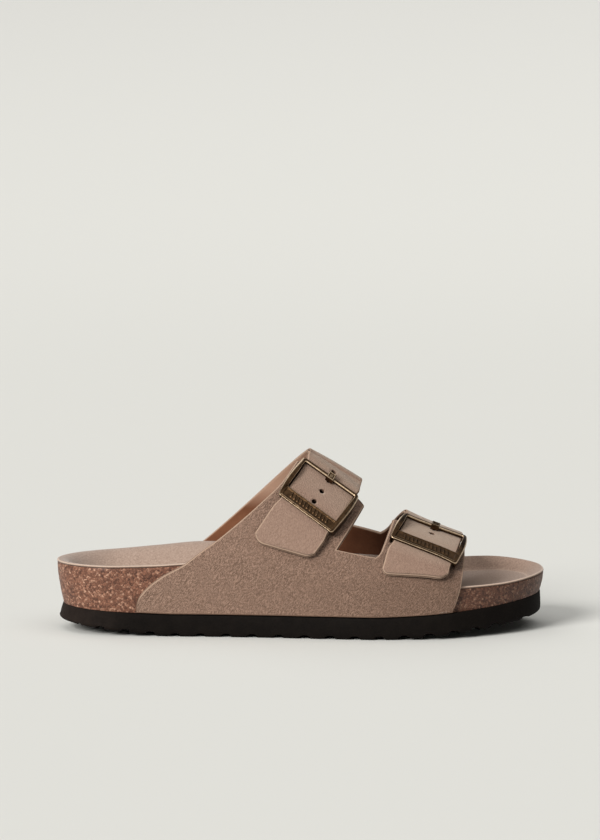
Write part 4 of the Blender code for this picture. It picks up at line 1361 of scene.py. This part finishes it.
def build_camera():
    """A camera at the photograph's height and distance, its frame fitted to the upright picture."""
    pitch = math.radians(CAMERA["pitch"])
    aim = (np.array(CAMERA["aim"]) - ORIGIN) * MM
    data = bpy.data.cameras.new("camera")
    data.sensor_fit = "VERTICAL"
    data.sensor_height = SENSOR_HIGH
    data.lens = SENSOR_HIGH * CAMERA["distance"] / (IMAGE_HIGH * CAMERA["pixel"] * MM)
    camera = bpy.data.objects.new("camera", data)
    camera.location = aim + CAMERA["distance"] * np.array((0.0, -math.cos(pitch), math.sin(pitch)))
    camera.rotation_euler = (math.pi / 2 - pitch, 0.0, 0.0)
    bpy.context.scene.collection.objects.link(camera)
    bpy.context.scene.camera = camera


def add_sun(name, toward, strength, angle, colour):
    """A broad distant light that shines along a direction."""
    data = bpy.data.lights.new(name, "SUN")
    data.energy = strength
    data.angle = math.radians(angle)
    data.color = colour
    light = bpy.data.objects.new(name, data)
    light.rotation_euler = Vector(toward).to_track_quat("-Z", "Y").to_euler()
    bpy.context.scene.collection.objects.link(light)


def build_lights():
    add_sun("key_from_heel", (0.54, 0.70, -0.44), 3.55, 24.0, (1.0, 0.985, 0.955))
    add_sun("soft_from_above", (0.00, 0.25, -1.0), 1.35, 95.0, (1.0, 0.99, 0.97))
    add_sun("edge_from_behind", (0.34, -0.73, -0.59), 0.5, 40.0, (1.0, 0.99, 0.97))
    world = bpy.data.worlds.new("soft_room")
    world.use_nodes = True
    shade = world.node_tree.nodes["Background"]
    shade.inputs["Color"].default_value = (*BACKGROUND, 1.0)
    shade.inputs["Strength"].default_value = 0.12
    bpy.context.scene.world = world


def build_floor():
    """A pale floor, in metres, that stays flat round the sandal and rises gently far away."""
    radii, around = (0.5, 1.0, 1.6, 2.0, 2.5, 3.0, 3.6, 4.4, 5.2, 6.0, 7.0, 8.0), 96
    flat, rise = 2.0, 1.1
    turn = 2 * math.pi * np.arange(around) / around
    rows = []
    for radius in radii:
        z = rise * (max(0.0, radius - flat) / (radii[-1] - flat)) ** 2
        rows.append(np.column_stack((radius * np.cos(turn), radius * np.sin(turn), np.full(around, z))))
    faces = [face[::-1] for face in tube_faces(len(radii), around)]
    faces.append(list(range(around)))
    floor = mesh_object("studio_floor", np.concatenate(rows) / MM + ORIGIN, faces)
    look = Finish("pale_paper")
    tooth = look.noise(2.0, 2.0)
    paper = look.blend(look.range(look.axis("Z"), 0.0, 0.5), (0.675, 0.676, 0.651), (0.57, 0.57, 0.553))
    look.set(Base_Color=paper, Roughness=1.0, Specular_IOR_Level=0.0)
    floor.data.materials.append(look.set(Normal=look.bump(tooth, 0.02, 0.1)))


def dress(thing, node, materials):
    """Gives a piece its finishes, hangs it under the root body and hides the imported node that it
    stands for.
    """
    for material in materials:
        thing.data.materials.append(material)
    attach(thing, "root")
    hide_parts(node)


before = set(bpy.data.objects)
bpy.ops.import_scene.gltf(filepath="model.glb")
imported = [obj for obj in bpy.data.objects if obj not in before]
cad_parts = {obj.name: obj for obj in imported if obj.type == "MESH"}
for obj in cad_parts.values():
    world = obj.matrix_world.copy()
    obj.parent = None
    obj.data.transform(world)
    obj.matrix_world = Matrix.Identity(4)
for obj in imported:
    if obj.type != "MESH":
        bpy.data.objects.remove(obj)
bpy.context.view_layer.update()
straps = {name: Strap(name) for name in STRAPS}
suede = suede_finish("taupe_suede", 1.0, smooth_straps=False)
smooth_suede = suede_finish("taupe_strap_suede", 0.5, smooth_straps=True)
lined = [lining_finish(), cut_edge_finish(), seam_and_painted_shade_finish()]
brass = brass_finish()
dress(build_outsole(), "outsole", [foam_finish()])
dress(build_cork(), "midsole_cork", [cork_finish()])
dress(build_footbed(), "insole_footbed", [footbed_finish()])
dress(build_outer_panel(straps), "upper_outer_quarter", [suede, *lined])
dress(build_inner_panel(straps), "upper_inner_quarter_straps", [smooth_suede, *lined])
for name, strap in straps.items():
    dress(build_frame(name, strap), f"buckle_frame_{name}", [brass])
    dress(build_prong(name, strap), f"buckle_prong_{name}", [brass])
build_floor()
build_lights()
build_camera()
bpy.context.scene.view_settings.view_transform = "Standard"
bpy.context.scene.cycles.use_denoising = True
